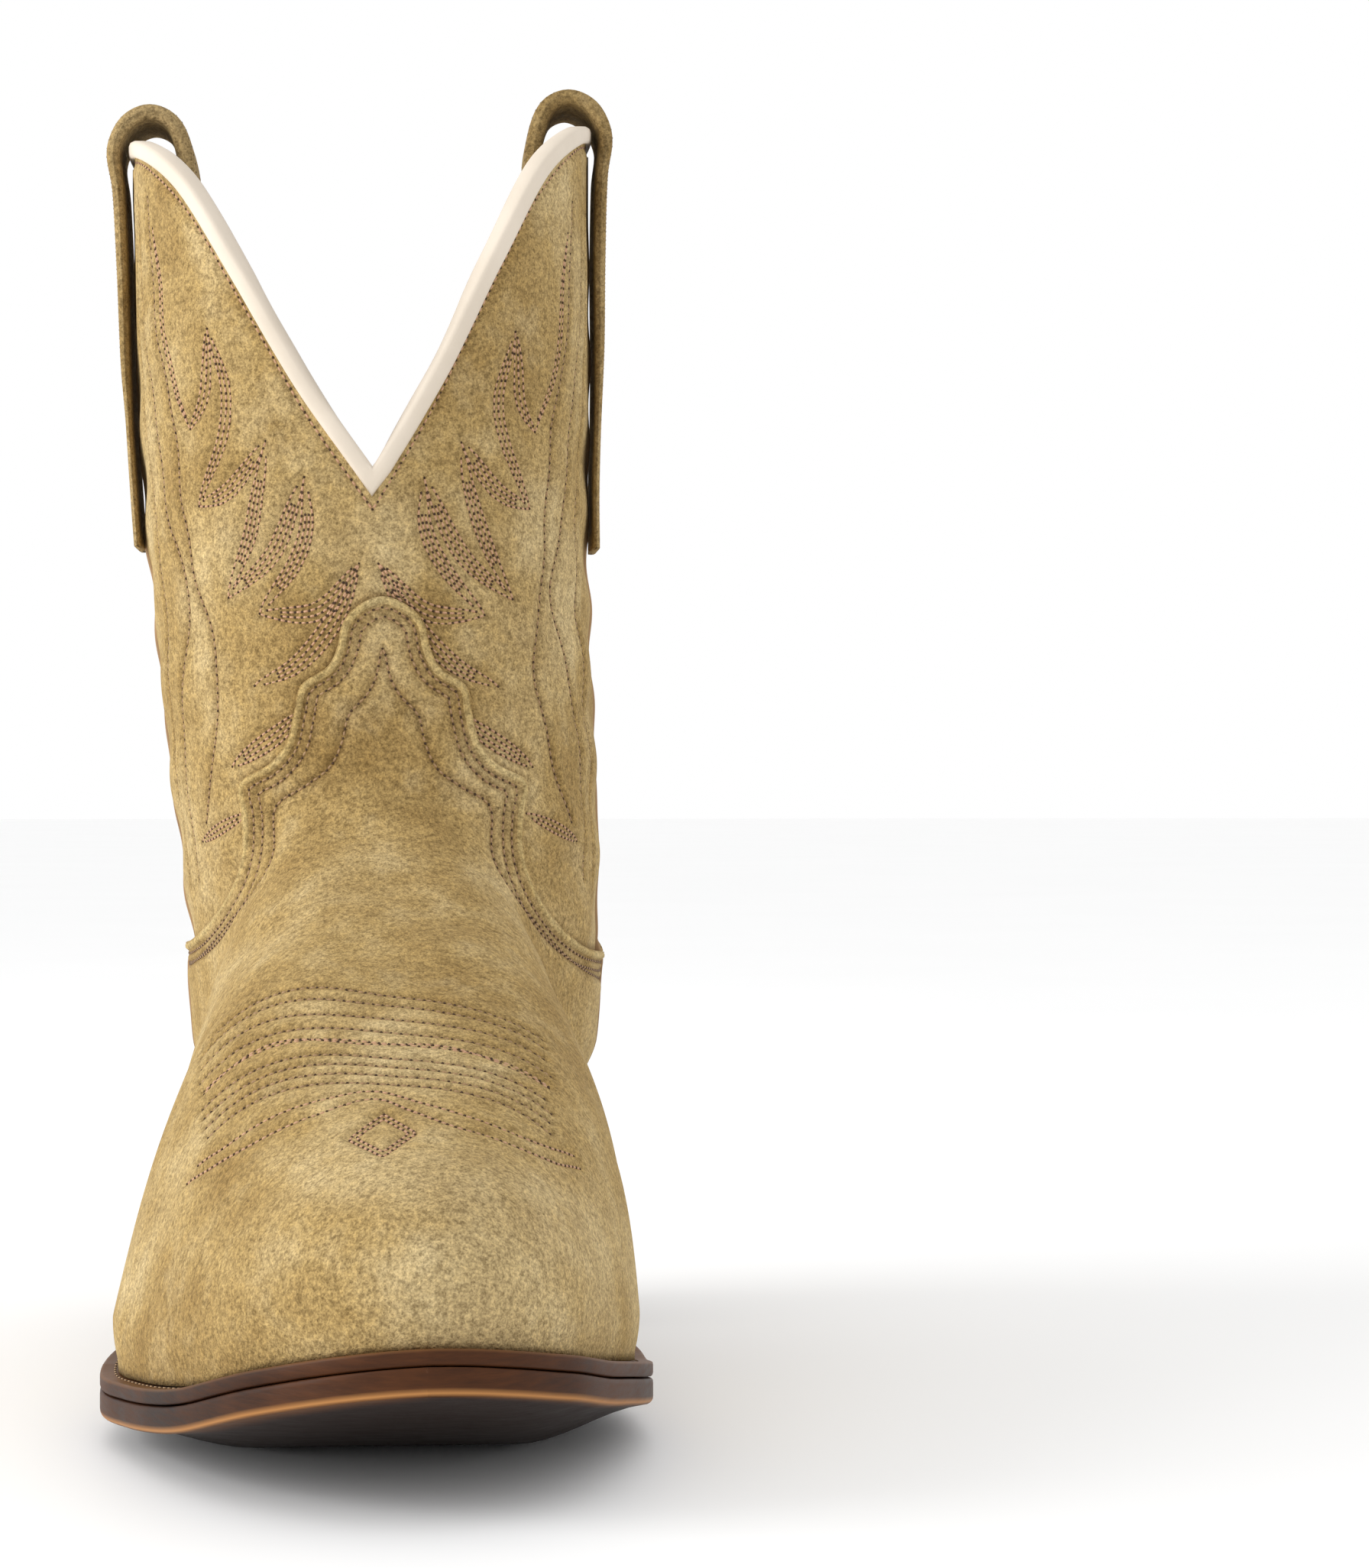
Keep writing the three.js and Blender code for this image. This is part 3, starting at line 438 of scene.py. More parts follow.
class Sheet:
    """A triangle mesh on the boot surface: points, normals and feather flags."""

    def __init__(self, data, triangles):
        self.data = data
        self.triangles = triangles

    @property
    def points(self):
        return self.data[:, :3]

    @property
    def normals(self):
        return self.data[:, 3:6]

    def clipped(self, field):
        """The part of the sheet where field(points) is positive, cut exactly at zero."""
        f = field(self.points)
        tri = self.triangles
        inside = f > 0
        count = inside[tri].sum(axis=1)

        def turned(t, odd):
            k = np.argmax(odd, axis=1)
            return np.take_along_axis(t, (k[:, None] + np.arange(3)) % 3, 1)

        one = tri[count == 1]
        one = turned(one, inside[one])
        two = tri[count == 2]
        two = turned(two, ~inside[two])
        edges = np.vstack([one[:, [0, 1]], one[:, [0, 2]], two[:, [0, 1]], two[:, [0, 2]]])
        edges.sort(axis=1)
        unique, place = np.unique(edges, axis=0, return_inverse=True)
        place = place.reshape(-1) + len(self.data)
        t = f[unique[:, 0]] / (f[unique[:, 0]] - f[unique[:, 1]])
        a, b = self.data[unique[:, 0]], self.data[unique[:, 1]]
        added = a + (b - a) * t[:, None]
        n1, n2 = len(one), len(two)
        p, q = place[:n1], place[n1:2 * n1]
        r, s = place[2 * n1:2 * n1 + n2], place[2 * n1 + n2:]
        kept = np.vstack([
            tri[count == 3],
            np.stack([one[:, 0], p, q], 1),
            np.stack([r, two[:, 1], two[:, 2]], 1),
            np.stack([r, two[:, 2], s], 1),
        ])
        return Sheet(np.vstack([self.data, added]), kept).tidied()

    def tidied(self):
        """Without unused points, and with points at one place joined."""
        used = np.unique(self.triangles)
        data = self.data[used]
        new = np.zeros(len(self.data), int)
        new[used] = np.arange(len(used))
        tri = new[self.triangles]
        key = np.round(data[:, :3] / 0.02).astype(np.int64)
        _, first, place = np.unique(key, axis=0, return_index=True, return_inverse=True)
        tri = place.reshape(-1)[tri]
        proper = (tri[:, 0] != tri[:, 1]) & (tri[:, 1] != tri[:, 2]) & (tri[:, 2] != tri[:, 0])
        return Sheet(data[first], tri[proper])

    def border(self):
        """Directed edges used by one triangle only."""
        tri = self.triangles
        edges = np.vstack([tri[:, [0, 1]], tri[:, [1, 2]], tri[:, [2, 0]]])
        size = len(self.data)
        forward = edges[:, 0] * size + edges[:, 1]
        backward = edges[:, 1] * size + edges[:, 0]
        return edges[~np.isin(forward, backward)]

    def moved(self, distance):
        """Points offset from the surface, resting level along the feather edge."""
        distance = np.asarray(distance, float)
        p = self.points + self.normals * distance[..., None]
        feather = self.data[:, 6] > 0.5
        bottom = feather_under(p) + OUTER_FACE - distance
        p[:, 2] = np.where(feather, bottom, np.maximum(p[:, 2], bottom))
        return p


def whole_sheet():
    data = np.concatenate([GRID_P, GRID_N, GRID_F[..., None]], -1).reshape(-1, 7)
    return Sheet(data, grid_triangles(*GRID_F.shape, int(GRID_CLOSED.sum()))).tidied()


WHOLE = whole_sheet()


# ---------- pattern lines on the surface ----------

def front_points(xz):
    """Surface points straight behind the front view places (x, z)."""
    x, z = np.transpose(xz)
    return cast(x, 60.0, z, FORWARD)


def plan_points(xy):
    """Surface points straight above the plan places (x, y)."""
    x, y = np.transpose(xy)
    return cast(x, y, feather_line(y) + 1.3 * BELLY, UPWARD)


def girth_angles():
    """Distance walked round the leg from its front middle line, against the angle."""
    angle = np.linspace(0, math.pi, 181)
    return walked_along(ray_points(level_middle(200), FORWARD, angle)), angle


GIRTH, GIRTH_ANGLE = girth_angles()


def shaft_points(line, side, at_back):
    """Surface points of a flat line of (distance walked round the leg, height) places.

    The distance is walked from the front or back middle line.
    """
    walked, z = line.T
    angle = np.interp(walked, GIRTH, GIRTH_ANGLE)
    if at_back:
        angle = math.pi - np.interp(GIRTH[-1] - walked, GIRTH, GIRTH_ANGLE)
    return ray_points(level_middle(z), BACKWARD if at_back else FORWARD, side * angle)


TONGUE_CENTRE = -2.4
TONGUE = [
    (0, 157.6), (4.5, 156), (7.8, 152.6), (9, 147.4), (11, 143.4), (16, 139.7), (17.2, 134),
    (18.6, 128), (21.8, 124), (28, 120), (27.4, 113), (27.3, 105), (29.2, 98.9), (34.2, 91.3),
    (40, 86.4), (46, 83.5),
]
INNER_TONGUE = [
    (0, 147.6), (1.5, 141.1), (3.5, 137.3), (6.7, 133.8), (8, 128.5), (10.5, 123.2),
    (15.4, 119.4), (20.8, 115.5), (20.9, 105), (23.8, 98.8), (30.3, 90.9), (38, 83), (48, 76),
]


def both_sides(half):
    left = [(TONGUE_CENTRE - x, z) for x, z in reversed(half)]
    right = [(TONGUE_CENTRE + x, z) for x, z in half[1:]]
    return left + right


TONGUE_LINE = smooth_line(both_sides(TONGUE))


def inside_line(line, distance):
    """A flat polyline moved to its right, without the loops that makes in hollows."""
    moved = line + line_normals(line) * distance
    gap = np.linalg.norm(moved[:, None] - line[None], axis=-1).min(axis=1)
    return moved[gap > distance * 0.97]


def under_tongue(p):
    """Distance below the edge of the vamp's tongue, seen from the front."""
    far = 50.0
    z = p[:, 2]
    result = np.where(z < 120, far, -far)
    close = (z > 75) & (z < 165) & (p[:, 1] < SEAM_Y)
    edge_z = TONGUE[-1][1]
    line = np.vstack([[-90, edge_z], TONGUE_LINE, [90, edge_z]])
    start, step = line[:-1], np.diff(line, axis=0)
    places = np.flatnonzero(close)
    for part in np.array_split(places, max(len(places) // 4000, 1)):
        q = p[part][:, [0, 2]][:, None]
        t = np.clip(((q - start) * step).sum(-1) / (step ** 2).sum(-1), 0, 1)
        offset = q - (start + step * t[..., None])
        distance = np.linalg.norm(offset, axis=-1)
        nearest = distance.argmin(axis=1)
        row = np.arange(len(part))
        o, d = offset[row, nearest], step[nearest]
        below = d[:, 0] * o[:, 1] - d[:, 1] * o[:, 0] < 0
        result[part] = np.where(below, 1, -1) * distance[row, nearest]
    return result


counter_edge = curve_through([(72, 83.5), (95, 87), (115, 97), (128, 110), (140, 116)])
top_rise = curve_through([(0, 0), (0.25, 0.25), (0.5, 0.55), (0.75, 0.83), (1, 1)])


def top_edge(x, drop):
    """Height of the shaft's top line at x, lowered by drop measured across the edge."""
    outer = x < NOTCH_X
    reach = np.where(outer, SIDE_OUTER_X - NOTCH_X, SIDE_INNER_X - NOTCH_X)
    share = np.clip((x - NOTCH_X) / reach, 0, 1)
    peak = np.where(outer, PEAK_OUTER_Z, PEAK_INNER_Z)
    slope = 1.65 * (1 - share ** 4)
    return NOTCH_Z + (peak - NOTCH_Z) * top_rise(share) - drop * np.hypot(1, slope)


def below_top(p):
    return top_edge(p[:, 0], TOP_CUT) - p[:, 2]


def front_of_seam(p):
    return SEAM_Y - SEAM_CUT - p[:, 1]


def behind_seam(p):
    return p[:, 1] - SEAM_Y - SEAM_CUT


def under_counter_edge(p):
    return counter_edge(p[:, 1]) - p[:, 2]


# ---------- stitching ----------

class Row:
    """A row of stitches: points, the normals there, a height above them and a thread."""

    def __init__(self, points, height, thread, normals=None, pitch=STITCH):
        self.points = evenly(points, pitch)
        self.normals = surface_normal(self.points) if normals is None else normals(self.points)
        self.height = height
        self.thread = thread


FLAME = [
    (0.7, [(56, 236), (53, 224), (50, 208), (42, 193)]),
    (1.4, [(42, 193), (37, 199), (35, 213)]),
    (1.3, [(35, 213), (30.5, 200), (32, 190), (40, 177)]),
    (1.7, [(40, 177), (30, 180), (21, 189.5)]),
    (1.5, [(21, 189.5), (23, 179), (26, 170), (32.5, 158)]),
    (1.7, [(32.5, 158), (21, 166), (12.5, 182)]),
    (1.5, [(12.5, 182), (12.5, 172), (16, 164), (24.5, 154.5)]),
    (1.8, [(24.5, 154.5), (11, 155), (2, 164.5)]),
    (1.9, [(2, 164.5), (8, 153), (17, 144), (27, 140)]),
    (1.8, [(15, 135), (23, 129.5), (35, 123.5)]),
    (1.2, [(31, 114), (40, 111), (50, 108)]),
]
SIDE_WAVES = [
    [(59, 243), (55, 213), (48, 194), (46, 176), (42, 160), (38, 146), (40, 130), (47, 112)],
    [(67, 243), (64, 213), (57, 194), (54, 176), (46, 161), (51, 146), (56, 130), (55, 100)],
    [(71, 243), (70, 213), (66, 194), (62, 176), (60, 160), (62, 146), (64, 130), (64, 98)],
]
LEAF_PITCH = 1.15
LEAF_STITCH = 1.55


def leaf_lines(half, spine):
    """Parallel rows that swell to a half width in the middle of a leaf and meet at its tips."""
    line = smooth_line(spine)
    swell = half * np.sin(np.pi * np.linspace(0, 1, len(line))).clip(0, 1) ** 0.7
    count = max(int(round(2 * half / LEAF_PITCH)) + 1, 2)
    apart = 2 * swell / (count - 1)
    lines = []
    for number, share in enumerate(np.linspace(-1, 1, count)):
        least = 0.4 if number == count - 1 else 0.75
        roomy = (apart > least) | (number == 0)
        offset = line + line_normals(line) * (swell * share)[:, None]
        if roomy.sum() > 3:
            lines.append(offset[roomy])
    return lines


def panel_rows():
    """All decorative stitching of the two shaft panels."""
    leaves = [line for half, spine in FLAME for line in leaf_lines(half, spine)]
    waves = [smooth_line(wave) for wave in SIDE_WAVES]
    rows = []
    for at_back in (False, True):
        for side in (-1, 1):
            for line in leaves:
                p = shaft_points(line, side, at_back)
                rows.append(Row(p, PANEL_FACE, "pink", pitch=LEAF_STITCH))
            for line in waves:
                rows.append(Row(shaft_points(line, side, at_back), PANEL_FACE, "brown"))
    return [row for row in rows if len(row.points) > 2]


def edge_curve(side, at_back, height, first_z, seam_gap, count):
    """A line on the shaft where z = height(p), from a middle line round to a side seam."""
    share = np.linspace(0, 1, count)
    z = np.full(count, first_z)
    for _ in range(14):
        middle = level_middle(z)
        first = np.arctan2(NOTCH_X - middle[:, 0], 60.0)
        last = side * np.arccos(seam_gap / leg_half_width(z))
        angle = first + (last - first) * share
        p = ray_points(middle, BACKWARD if at_back else FORWARD, angle)
        z = height(p)
    p[:, 2] = z
    return p


def top_curve(side, at_back, drop, count):
    """The top line on the surface, from a notch to the peak at a side seam."""
    gap = (SEAM_Y - SPINE_Y) * (1 if at_back else -1)
    return edge_curve(side, at_back, lambda p: top_edge(p[:, 0], drop), 230.0, gap, count)


def top_stitching():
    """The row that holds the binding, just under it all the way round."""
    rows = []
    for at_back in (False, True):
        for side in (-1, 1):
            line = top_curve(side, at_back, BINDING + 0.9, 90)
            rows.append(Row(line, PANEL_FACE, "pink"))
    return rows


EDGE_ROWS = (2.1, 3.9)
SIDE_FACING = -0.2
SIDE_Y = 59
TAIL_X = 34


def across_vamp(flat):
    """A front view line over the instep, carried back along both sides to the seams."""
    p = front_points(flat)
    front = p[(surface_normal(p)[:, 1] < SIDE_FACING) & (p[:, 1] < SIDE_Y)]
    lines = [front]
    for side, first in ((-1, front[0]), (1, front[-1])):
        tail = flat[side * (flat[:, 0] - TONGUE_CENTRE) > TAIL_X]
        tail = tail[np.argsort(tail[:, 0])]
        y = np.arange(first[1] + 1, SEAM_Y - 1, 1.0)
        z = first[2]
        for _ in range(5):
            p = cast(0, y, z, side * INWARD)
            z = np.interp(p[:, 0], tail[:, 0], tail[:, 1])
        lines = [p[::-1], *lines] if side < 0 else [*lines, p]
    return np.vstack(lines)


def vamp_rows():
    lines = [inside_line(TONGUE_LINE, distance) for distance in EDGE_ROWS]
    lines.append(smooth_line(both_sides(INNER_TONGUE)))
    return [Row(across_vamp(line), OUTER_FACE, "brown") for line in lines]


def counter_curve(side, drop):
    """A line a drop below the top edge of the heel counter, from the back to a seam."""
    return edge_curve(side, True, lambda p: counter_edge(p[:, 1]) - drop, 100.0, 4.6, 70)


def counter_rows():
    rows = []
    for distance in EDGE_ROWS:
        for side in (-1, 1):
            rows.append(Row(counter_curve(side, distance * 1.15), OUTER_FACE, "brown"))
    return rows


TOE_ARCS = [
    (-52.3, "brown", -35, 26), (-56, "brown", -34.5, 26), (-61.2, "brown", -34.5, 26),
    (-66.5, "brown", -34.5, 27), (-71, "pink", -33.5, 26.5), (-76.8, "brown", -33.5, 25.5),
    (-80.2, "brown", -33, 26.5), (-83.7, "brown", -32.5, 26), (-87.2, "brown", -32, 26),
]
WING = [(-35.4, -76), (-30.4, -83.7), (-23, -90.5), (-13, -93.6), (-3, -92.4), (3, -98),
        (11, -103.8), (20, -103), (26, -98), (31, -89)]
WING_INNER = [(-33.5, -76.5), (-28.2, -82.8), (-21, -86.5), (-12, -89), (-3, -89.4), (5, -95),
              (13, -98.6), (20, -98.6), (25, -95), (30, -88)]
DIAMOND = [(-1.8, -98.7), (3.7, -107), (-1.8, -116.5), (-7.6, -106.5), (-1.8, -98.7)]
BRAID = 1.1


def toe_arc(crown, left, right, swing=0.0):
    """An arc across the toe in plan. A swing makes it weave from side to side."""
    x = np.linspace(left, right, 60)
    y = crown - 0.25 * x + 0.0063 * x * x
    return np.stack([x, y + swing * np.sin(x * 0.22)], 1)


def toe_rows():
    """The arcs, wing and small diamond sewn over the toe."""
    rows = []
    for crown, thread, left, right in TOE_ARCS:
        rows.append(Row(plan_points(toe_arc(crown, left, right)), OUTER_FACE, thread))
        if thread == "pink":
            woven = toe_arc(crown, left, right, BRAID)
            rows.append(Row(plan_points(woven), OUTER_FACE, thread, pitch=LEAF_STITCH))
    figures = [smooth_line(WING), smooth_line(WING_INNER)]
    centre = np.mean(DIAMOND[:-1], axis=0)
    for size in (1.0, 0.78):
        figures.append(evenly(centre + (np.array(DIAMOND) - centre) * size, 0.8))
    for line in figures:
        rows.append(Row(plan_points(line), OUTER_FACE, "pink", pitch=LEAF_STITCH))
    return rows


PANEL_ROWS = panel_rows()
VAMP_ROWS = vamp_rows() + toe_rows()
COUNTER_ROWS = counter_rows()
TOP_ROWS = top_stitching()


def search_tree(points):
    tree = KDTree(len(points))
    for number, p in enumerate(points):
        tree.insert(p, number)
    tree.balance()
    return tree


def row_distance(points, rows):
    """Distance from each point to the nearest row of stitches."""
    if not rows:
        return np.full(len(points), 99.0)
    tree = search_tree(np.vstack([evenly(row.points, 0.8) for row in rows]))
    return np.array([tree.find(p)[2] for p in points])


def groove(distance):
    """How far stitches pull the leather in, and puff it up beside them."""
    depth, width = 0.5, 0.85
    dent = depth * np.exp(-(distance / width) ** 2)
    puff = 0.4 * depth * np.exp(-((distance - 2.6 * width) / (1.6 * width)) ** 2)
    return dent - puff


# ---------- meshes ----------

def facing_out(points, triangles):
    """The triangles, turned round if the body is inside out."""
    a, b, c = (points[triangles[:, k]] for k in range(3))
    volume = (np.cross(a, b) * c).sum() / 6
    return triangles if volume > 0 else triangles[:, ::-1]


def triangle_piece(name, points, triangles, look, slot, nodes=()):
    """A smooth piece riding on the boot, standing for the named nodes."""
    triangles = facing_out(points, triangles).astype(np.int32)
    mesh = bpy.data.meshes.new(name)
    mesh.vertices.add(len(points))
    mesh.vertices.foreach_set("co", to_frame(points).astype(np.float32).ravel())
    mesh.loops.add(3 * len(triangles))
    mesh.loops.foreach_set("vertex_index", triangles.ravel())
    mesh.polygons.add(len(triangles))
    mesh.polygons.foreach_set("loop_start", np.arange(0, 3 * len(triangles), 3, dtype=np.int32))
    mesh.polygons.foreach_set("use_smooth", np.full(len(triangles), True))
    mesh.update()
    mesh.validate()
    mesh.materials.append(look)
    piece = bpy.data.objects.new(name, mesh)
    bpy.context.scene.collection.objects.link(piece)
    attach(piece, "root")
    if nodes:
        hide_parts(*nodes)
    return piece


def ring_triangles(count, size):
    """Triangles joining rings of equal size that are walked round the same way."""
    i, j = np.meshgrid(np.arange(count - 1), np.arange(size), indexing="ij")
    a = i * size + j
    b = i * size + (j + 1) % size
    return quads(a, b, b + size, a + size)


def lofted(rings):
    """Points and triangles of a body over rings, with a fan over each end."""
    rings = np.asarray(rings, float)
    count, size = rings.shape[:2]
    points = np.vstack([rings.reshape(-1, 3), rings[0].mean(axis=0), rings[-1].mean(axis=0)])
    ring = np.arange(size)
    after = np.roll(ring, -1)
    last = (count - 1) * size
    start = np.stack([np.full(size, len(points) - 2), after, ring], 1)
    end = np.stack([ring + last, after + last, np.full(size, len(points) - 1)], 1)
    return points, np.vstack([ring_triangles(count, size), start, end])


def loft_piece(name, rings, look, slot, nodes=()):
    return triangle_piece(name, *lofted(rings), look, slot, nodes)


def mark(piece, name, values):
    """Stores one number per vertex for the piece's material."""
    layer = piece.data.attributes.new(name, "FLOAT", "POINT")
    layer.data.foreach_set("value", np.clip(values, 0, 1).astype(np.float32))


def leather(name, sheet, faces, look, slot, node, rows=(), shade=None):
    """A leather piece: the sheet at two offsets, joined round its border."""
    distance = row_distance(sheet.points, rows)
    plain = row_distance(sheet.points, [row for row in rows if row.thread == "brown"])
    face, back = faces
    outer = sheet.moved(face - groove(distance))
    size = len(outer)
    start, end = sheet.border().T
    triangles = np.vstack([
        sheet.triangles,
        sheet.triangles[:, ::-1] + size,
        quads(end, start, start + size, end + size),
    ])
    points = np.vstack([outer, sheet.moved(back)])
    piece = triangle_piece(name, points, triangles, look, slot, [node])
    # Painted shade: darker along the stitch rows, most along the brown ones, and in the shadow
    # beside an overlapping edge.
    painted_shade = np.maximum(0.7 * np.exp(-(plain / 0.8) ** 2), 0.2 * np.exp(-(distance / 0.8) ** 2))
    if shade:
        painted_shade = np.maximum(painted_shade, shade(sheet.points))
    mark(piece, "painted_shade", np.concatenate([painted_shade, np.zeros(size)]))


def swept(line, across, out, profile):
    """Rings of a profile of (across, out) places carried along a line."""
    profile = np.asarray(profile, float)
    rings = line[:, None] + across[:, None] * profile[None, :, 0, None]
    return rings + out[:, None] * profile[None, :, 1, None]


def square_to(line, out):
    """Unit directions square to a line and to its outward normals."""
    return unit(np.cross(np.gradient(line, axis=0), out))


def round_profile(radius):
    turn = np.linspace(0, 2 * math.pi, 10, endpoint=False)
    return np.stack([radius * np.cos(turn), radius * np.sin(turn)], 1)


def folded_edge(name, line):
    """The rolled rim of an overlapping piece, along a line on the surface."""
    line = evenly(line, 0.8)
    out = surface_normal(line)
    rings = swept(line + out * FOLD_LIFT, square_to(line, out), out, round_profile(FOLD_RADIUS))
    # The rim's lighter suede is partly a painted highlight.
    piece = loft_piece(name, rings, FOLD_SUEDE_AND_HIGHLIGHT, "suede")
    mark(piece, "painted_shade", np.zeros(len(piece.data.vertices)))


# ---------- materials ----------

class Look:
    """A node material being built, with short calls for its usual nodes."""

    def __init__(self, name, **uniform):
        self.material = bpy.data.materials.new(name)
        self.material.use_nodes = True
        self.nodes = self.material.node_tree.nodes
        self.links = self.material.node_tree.links
        self.shader = self.nodes["Principled BSDF"]
        for socket, value in uniform.items():
            self.shader.inputs[socket.replace("_", " ")].default_value = value
        self.place = self.nodes.new("ShaderNodeTexCoord").outputs["Object"]

    def noise(self, per_metre, detail=3.0, roughness=0.55, stretch=None):
        node = self.nodes.new("ShaderNodeTexNoise")
        node.inputs["Scale"].default_value = per_metre
        node.inputs["Detail"].default_value = detail
        node.inputs["Roughness"].default_value = roughness
        place = self.place
        if stretch:
            mapping = self.nodes.new("ShaderNodeMapping")
            mapping.inputs["Scale"].default_value = stretch
            self.links.new(place, mapping.inputs["Vector"])
            place = mapping.outputs["Vector"]
        self.links.new(place, node.inputs["Vector"])
        return node.outputs["Fac"]

    def ramp(self, factor, *stops):
        node = self.nodes.new("ShaderNodeValToRGB")
        ramp = node.color_ramp
        ramp.elements[0].position, ramp.elements[0].color = stops[0][0], (*stops[0][1], 1)
        ramp.elements[1].position, ramp.elements[1].color = stops[-1][0], (*stops[-1][1], 1)
        for position, colour in stops[1:-1]:
            ramp.elements.new(position).color = (*colour, 1)
        self.links.new(factor, node.inputs["Fac"])
        return node.outputs["Color"]

    def between(self, factor, dark, light):
        return self.ramp(factor, (0.35, dark), (0.65, light))

    def mix(self, amount, a, b, blend="MIX"):
        node = self.nodes.new("ShaderNodeMix")
        node.data_type = "RGBA"
        node.blend_type = blend
        for socket, value in ((node.inputs[0], amount), (node.inputs[6], a), (node.inputs[7], b)):
            if isinstance(value, (int, float)):
                socket.default_value = value
            elif isinstance(value, tuple):
                socket.default_value = (*value, 1)
            else:
                self.links.new(value, socket)
        return node.outputs[2]

    def attribute(self, name):
        node = self.nodes.new("ShaderNodeAttribute")
        node.attribute_name = name
        return node.outputs["Fac"]

    def colour(self, socket):
        self.links.new(socket, self.shader.inputs["Base Color"])

    def roughness(self, factor, low, high):
        node = self.nodes.new("ShaderNodeMapRange")
        node.inputs["To Min"].default_value = low
        node.inputs["To Max"].default_value = high
        self.links.new(factor, node.inputs["Value"])
        self.links.new(node.outputs["Result"], self.shader.inputs["Roughness"])

    def bump(self, *layers):
        """Layers of (height, strength, depth in metres), the coarsest first."""
        normal = None
        for height, strength, depth in layers:
            node = self.nodes.new("ShaderNodeBump")
            node.inputs["Strength"].default_value = strength
            node.inputs["Distance"].default_value = depth
            self.links.new(height, node.inputs["Height"])
            if normal:
                self.links.new(normal, node.inputs["Normal"])
            normal = node.outputs["Normal"]
        self.links.new(normal, self.shader.inputs["Normal"])


def suede(name, dark, middle, light):
    """Napped leather: cloudy brushing, fine specks, and painted shade along stitch rows and beside
    overlapping edges.
    """
    look = Look(name, Roughness=0.95, Specular_IOR_Level=0.1,
                Sheen_Weight=0.24, Sheen_Roughness=0.5, Sheen_Tint=(*light, 1))
    cloud = look.noise(20, 4)
    brushed = look.noise(85, 4, 0.6)
    fleck = look.noise(900, 3, 0.7)
    nap = look.noise(2300, 2, 0.6)
    broad = look.ramp(cloud, (0.38, dark), (0.5, middle), (0.64, light))
    fine = look.ramp(brushed, (0.34, dark), (0.5, middle), (0.68, light))
    base = look.mix(0.4, broad, fine)
    speck = look.ramp(fleck, (0.34, (0.5, 0.47, 0.42)), (0.5, (1, 1, 1)), (0.66, (1.4, 1.39, 1.34)))
    base = look.mix(0.75, base, speck, "MULTIPLY")
    grain = look.ramp(nap, (0.35, (0.58, 0.56, 0.52)), (0.62, (1.3, 1.3, 1.27)))
    base = look.mix(0.65, base, grain, "MULTIPLY")
    # Painted shade: the stored shade darkens the suede along stitch rows and beside overlapping
    # edges.
    look.colour(look.mix(look.attribute("painted_shade"), base, (0.44, 0.37, 0.3), "MULTIPLY"))
    look.bump((brushed, 0.25, 0.0007), (fleck, 0.6, 0.0006), (nap, 0.5, 0.0003))
    return look.material


def smooth_leather(name, light, dark, rough):
    look = Look(name, Specular_IOR_Level=0.4)
    pores = look.noise(1400, 3, 0.6)
    worn = look.noise(60, 3)
    look.colour(look.between(worn, dark, light))
    look.roughness(worn, rough, rough + 0.16)
    look.bump((worn, 0.1, 0.0006), (pores, 0.22, 0.0002))
    return look.material


def burnished_edge(name, tan, brown, dark):
    """Waxed sole edges: fibres run along the edge, and a tan band runs along the lower edge."""
    look = Look(name, Specular_IOR_Level=0.14)
    streak = look.noise(160, 4, 0.6, stretch=(1, 1, 7))
    cloud = look.noise(26, 3)
    worn = look.ramp(cloud, (0.38, dark), (0.62, brown))
    layered = look.mix(0.4, worn, look.ramp(streak, (0.35, dark), (0.66, brown)))
    # A tan band along the lower edge of the sole, and a faint one along the top of the welt.
    edge = look.mix(look.attribute("rub"), layered, tan)
    # Painted shade: the underside goes near black, partly dark brown leather, partly painted shade
    # under the sole.
    look.colour(look.mix(look.attribute("under"), edge, dark))
    look.roughness(streak, 0.38, 0.6)
    look.bump((cloud, 0.1, 0.0008), (streak, 0.3, 0.0003))
    return look.material


def stacked_leather(name, light, dark):
    """Heel lifts: thin layers edge on, stained and waxed."""
    look = Look(name, Specular_IOR_Level=0.32, Coat_Weight=0.1, Coat_Roughness=0.35)
    layer = look.noise(60, 3, 0.5, stretch=(0.5, 0.5, 22))
    cloud = look.noise(30, 3)
    stain = look.between(cloud, dark, light)
    look.colour(look.mix(0.6, stain, look.ramp(layer, (0.38, dark), (0.62, light))))
    look.roughness(layer, 0.3, 0.52)
    look.bump((layer, 0.4, 0.0004))
    return look.material


def dull(name, light, dark, per_metre, rough, depth=0.0003):
    look = Look(name)
    grain = look.noise(per_metre, 4, 0.6)
    look.colour(look.between(grain, dark, light))
    look.roughness(grain, rough, min(rough + 0.12, 1))
    look.bump((grain, 0.4, depth))
    return look.material


def steel(name):
    look = Look(name, Metallic=1.0)
    brushed = look.noise(700, 2, 0.5, stretch=(1, 6, 1))
    look.colour(look.ramp(brushed, (0.3, (0.3, 0.31, 0.33)), (0.7, (0.44, 0.45, 0.47))))
    look.roughness(brushed, 0.3, 0.45)
    look.bump((brushed, 0.15, 0.0001))
    return look.material


def thread(name, light, dark):
    look = Look(name, Roughness=0.62)
    twist = look.noise(1800, 2)
    look.colour(look.between(twist, dark, light))
    look.bump((twist, 0.5, 0.0002))
    return look.material


SUEDE = suede("suede", (0.28, 0.18, 0.064), (0.39, 0.27, 0.11), (0.535, 0.415, 0.225))
STRAP_SUEDE = suede("strap_suede", (0.2, 0.13, 0.05), (0.3, 0.205, 0.085), (0.42, 0.31, 0.16))
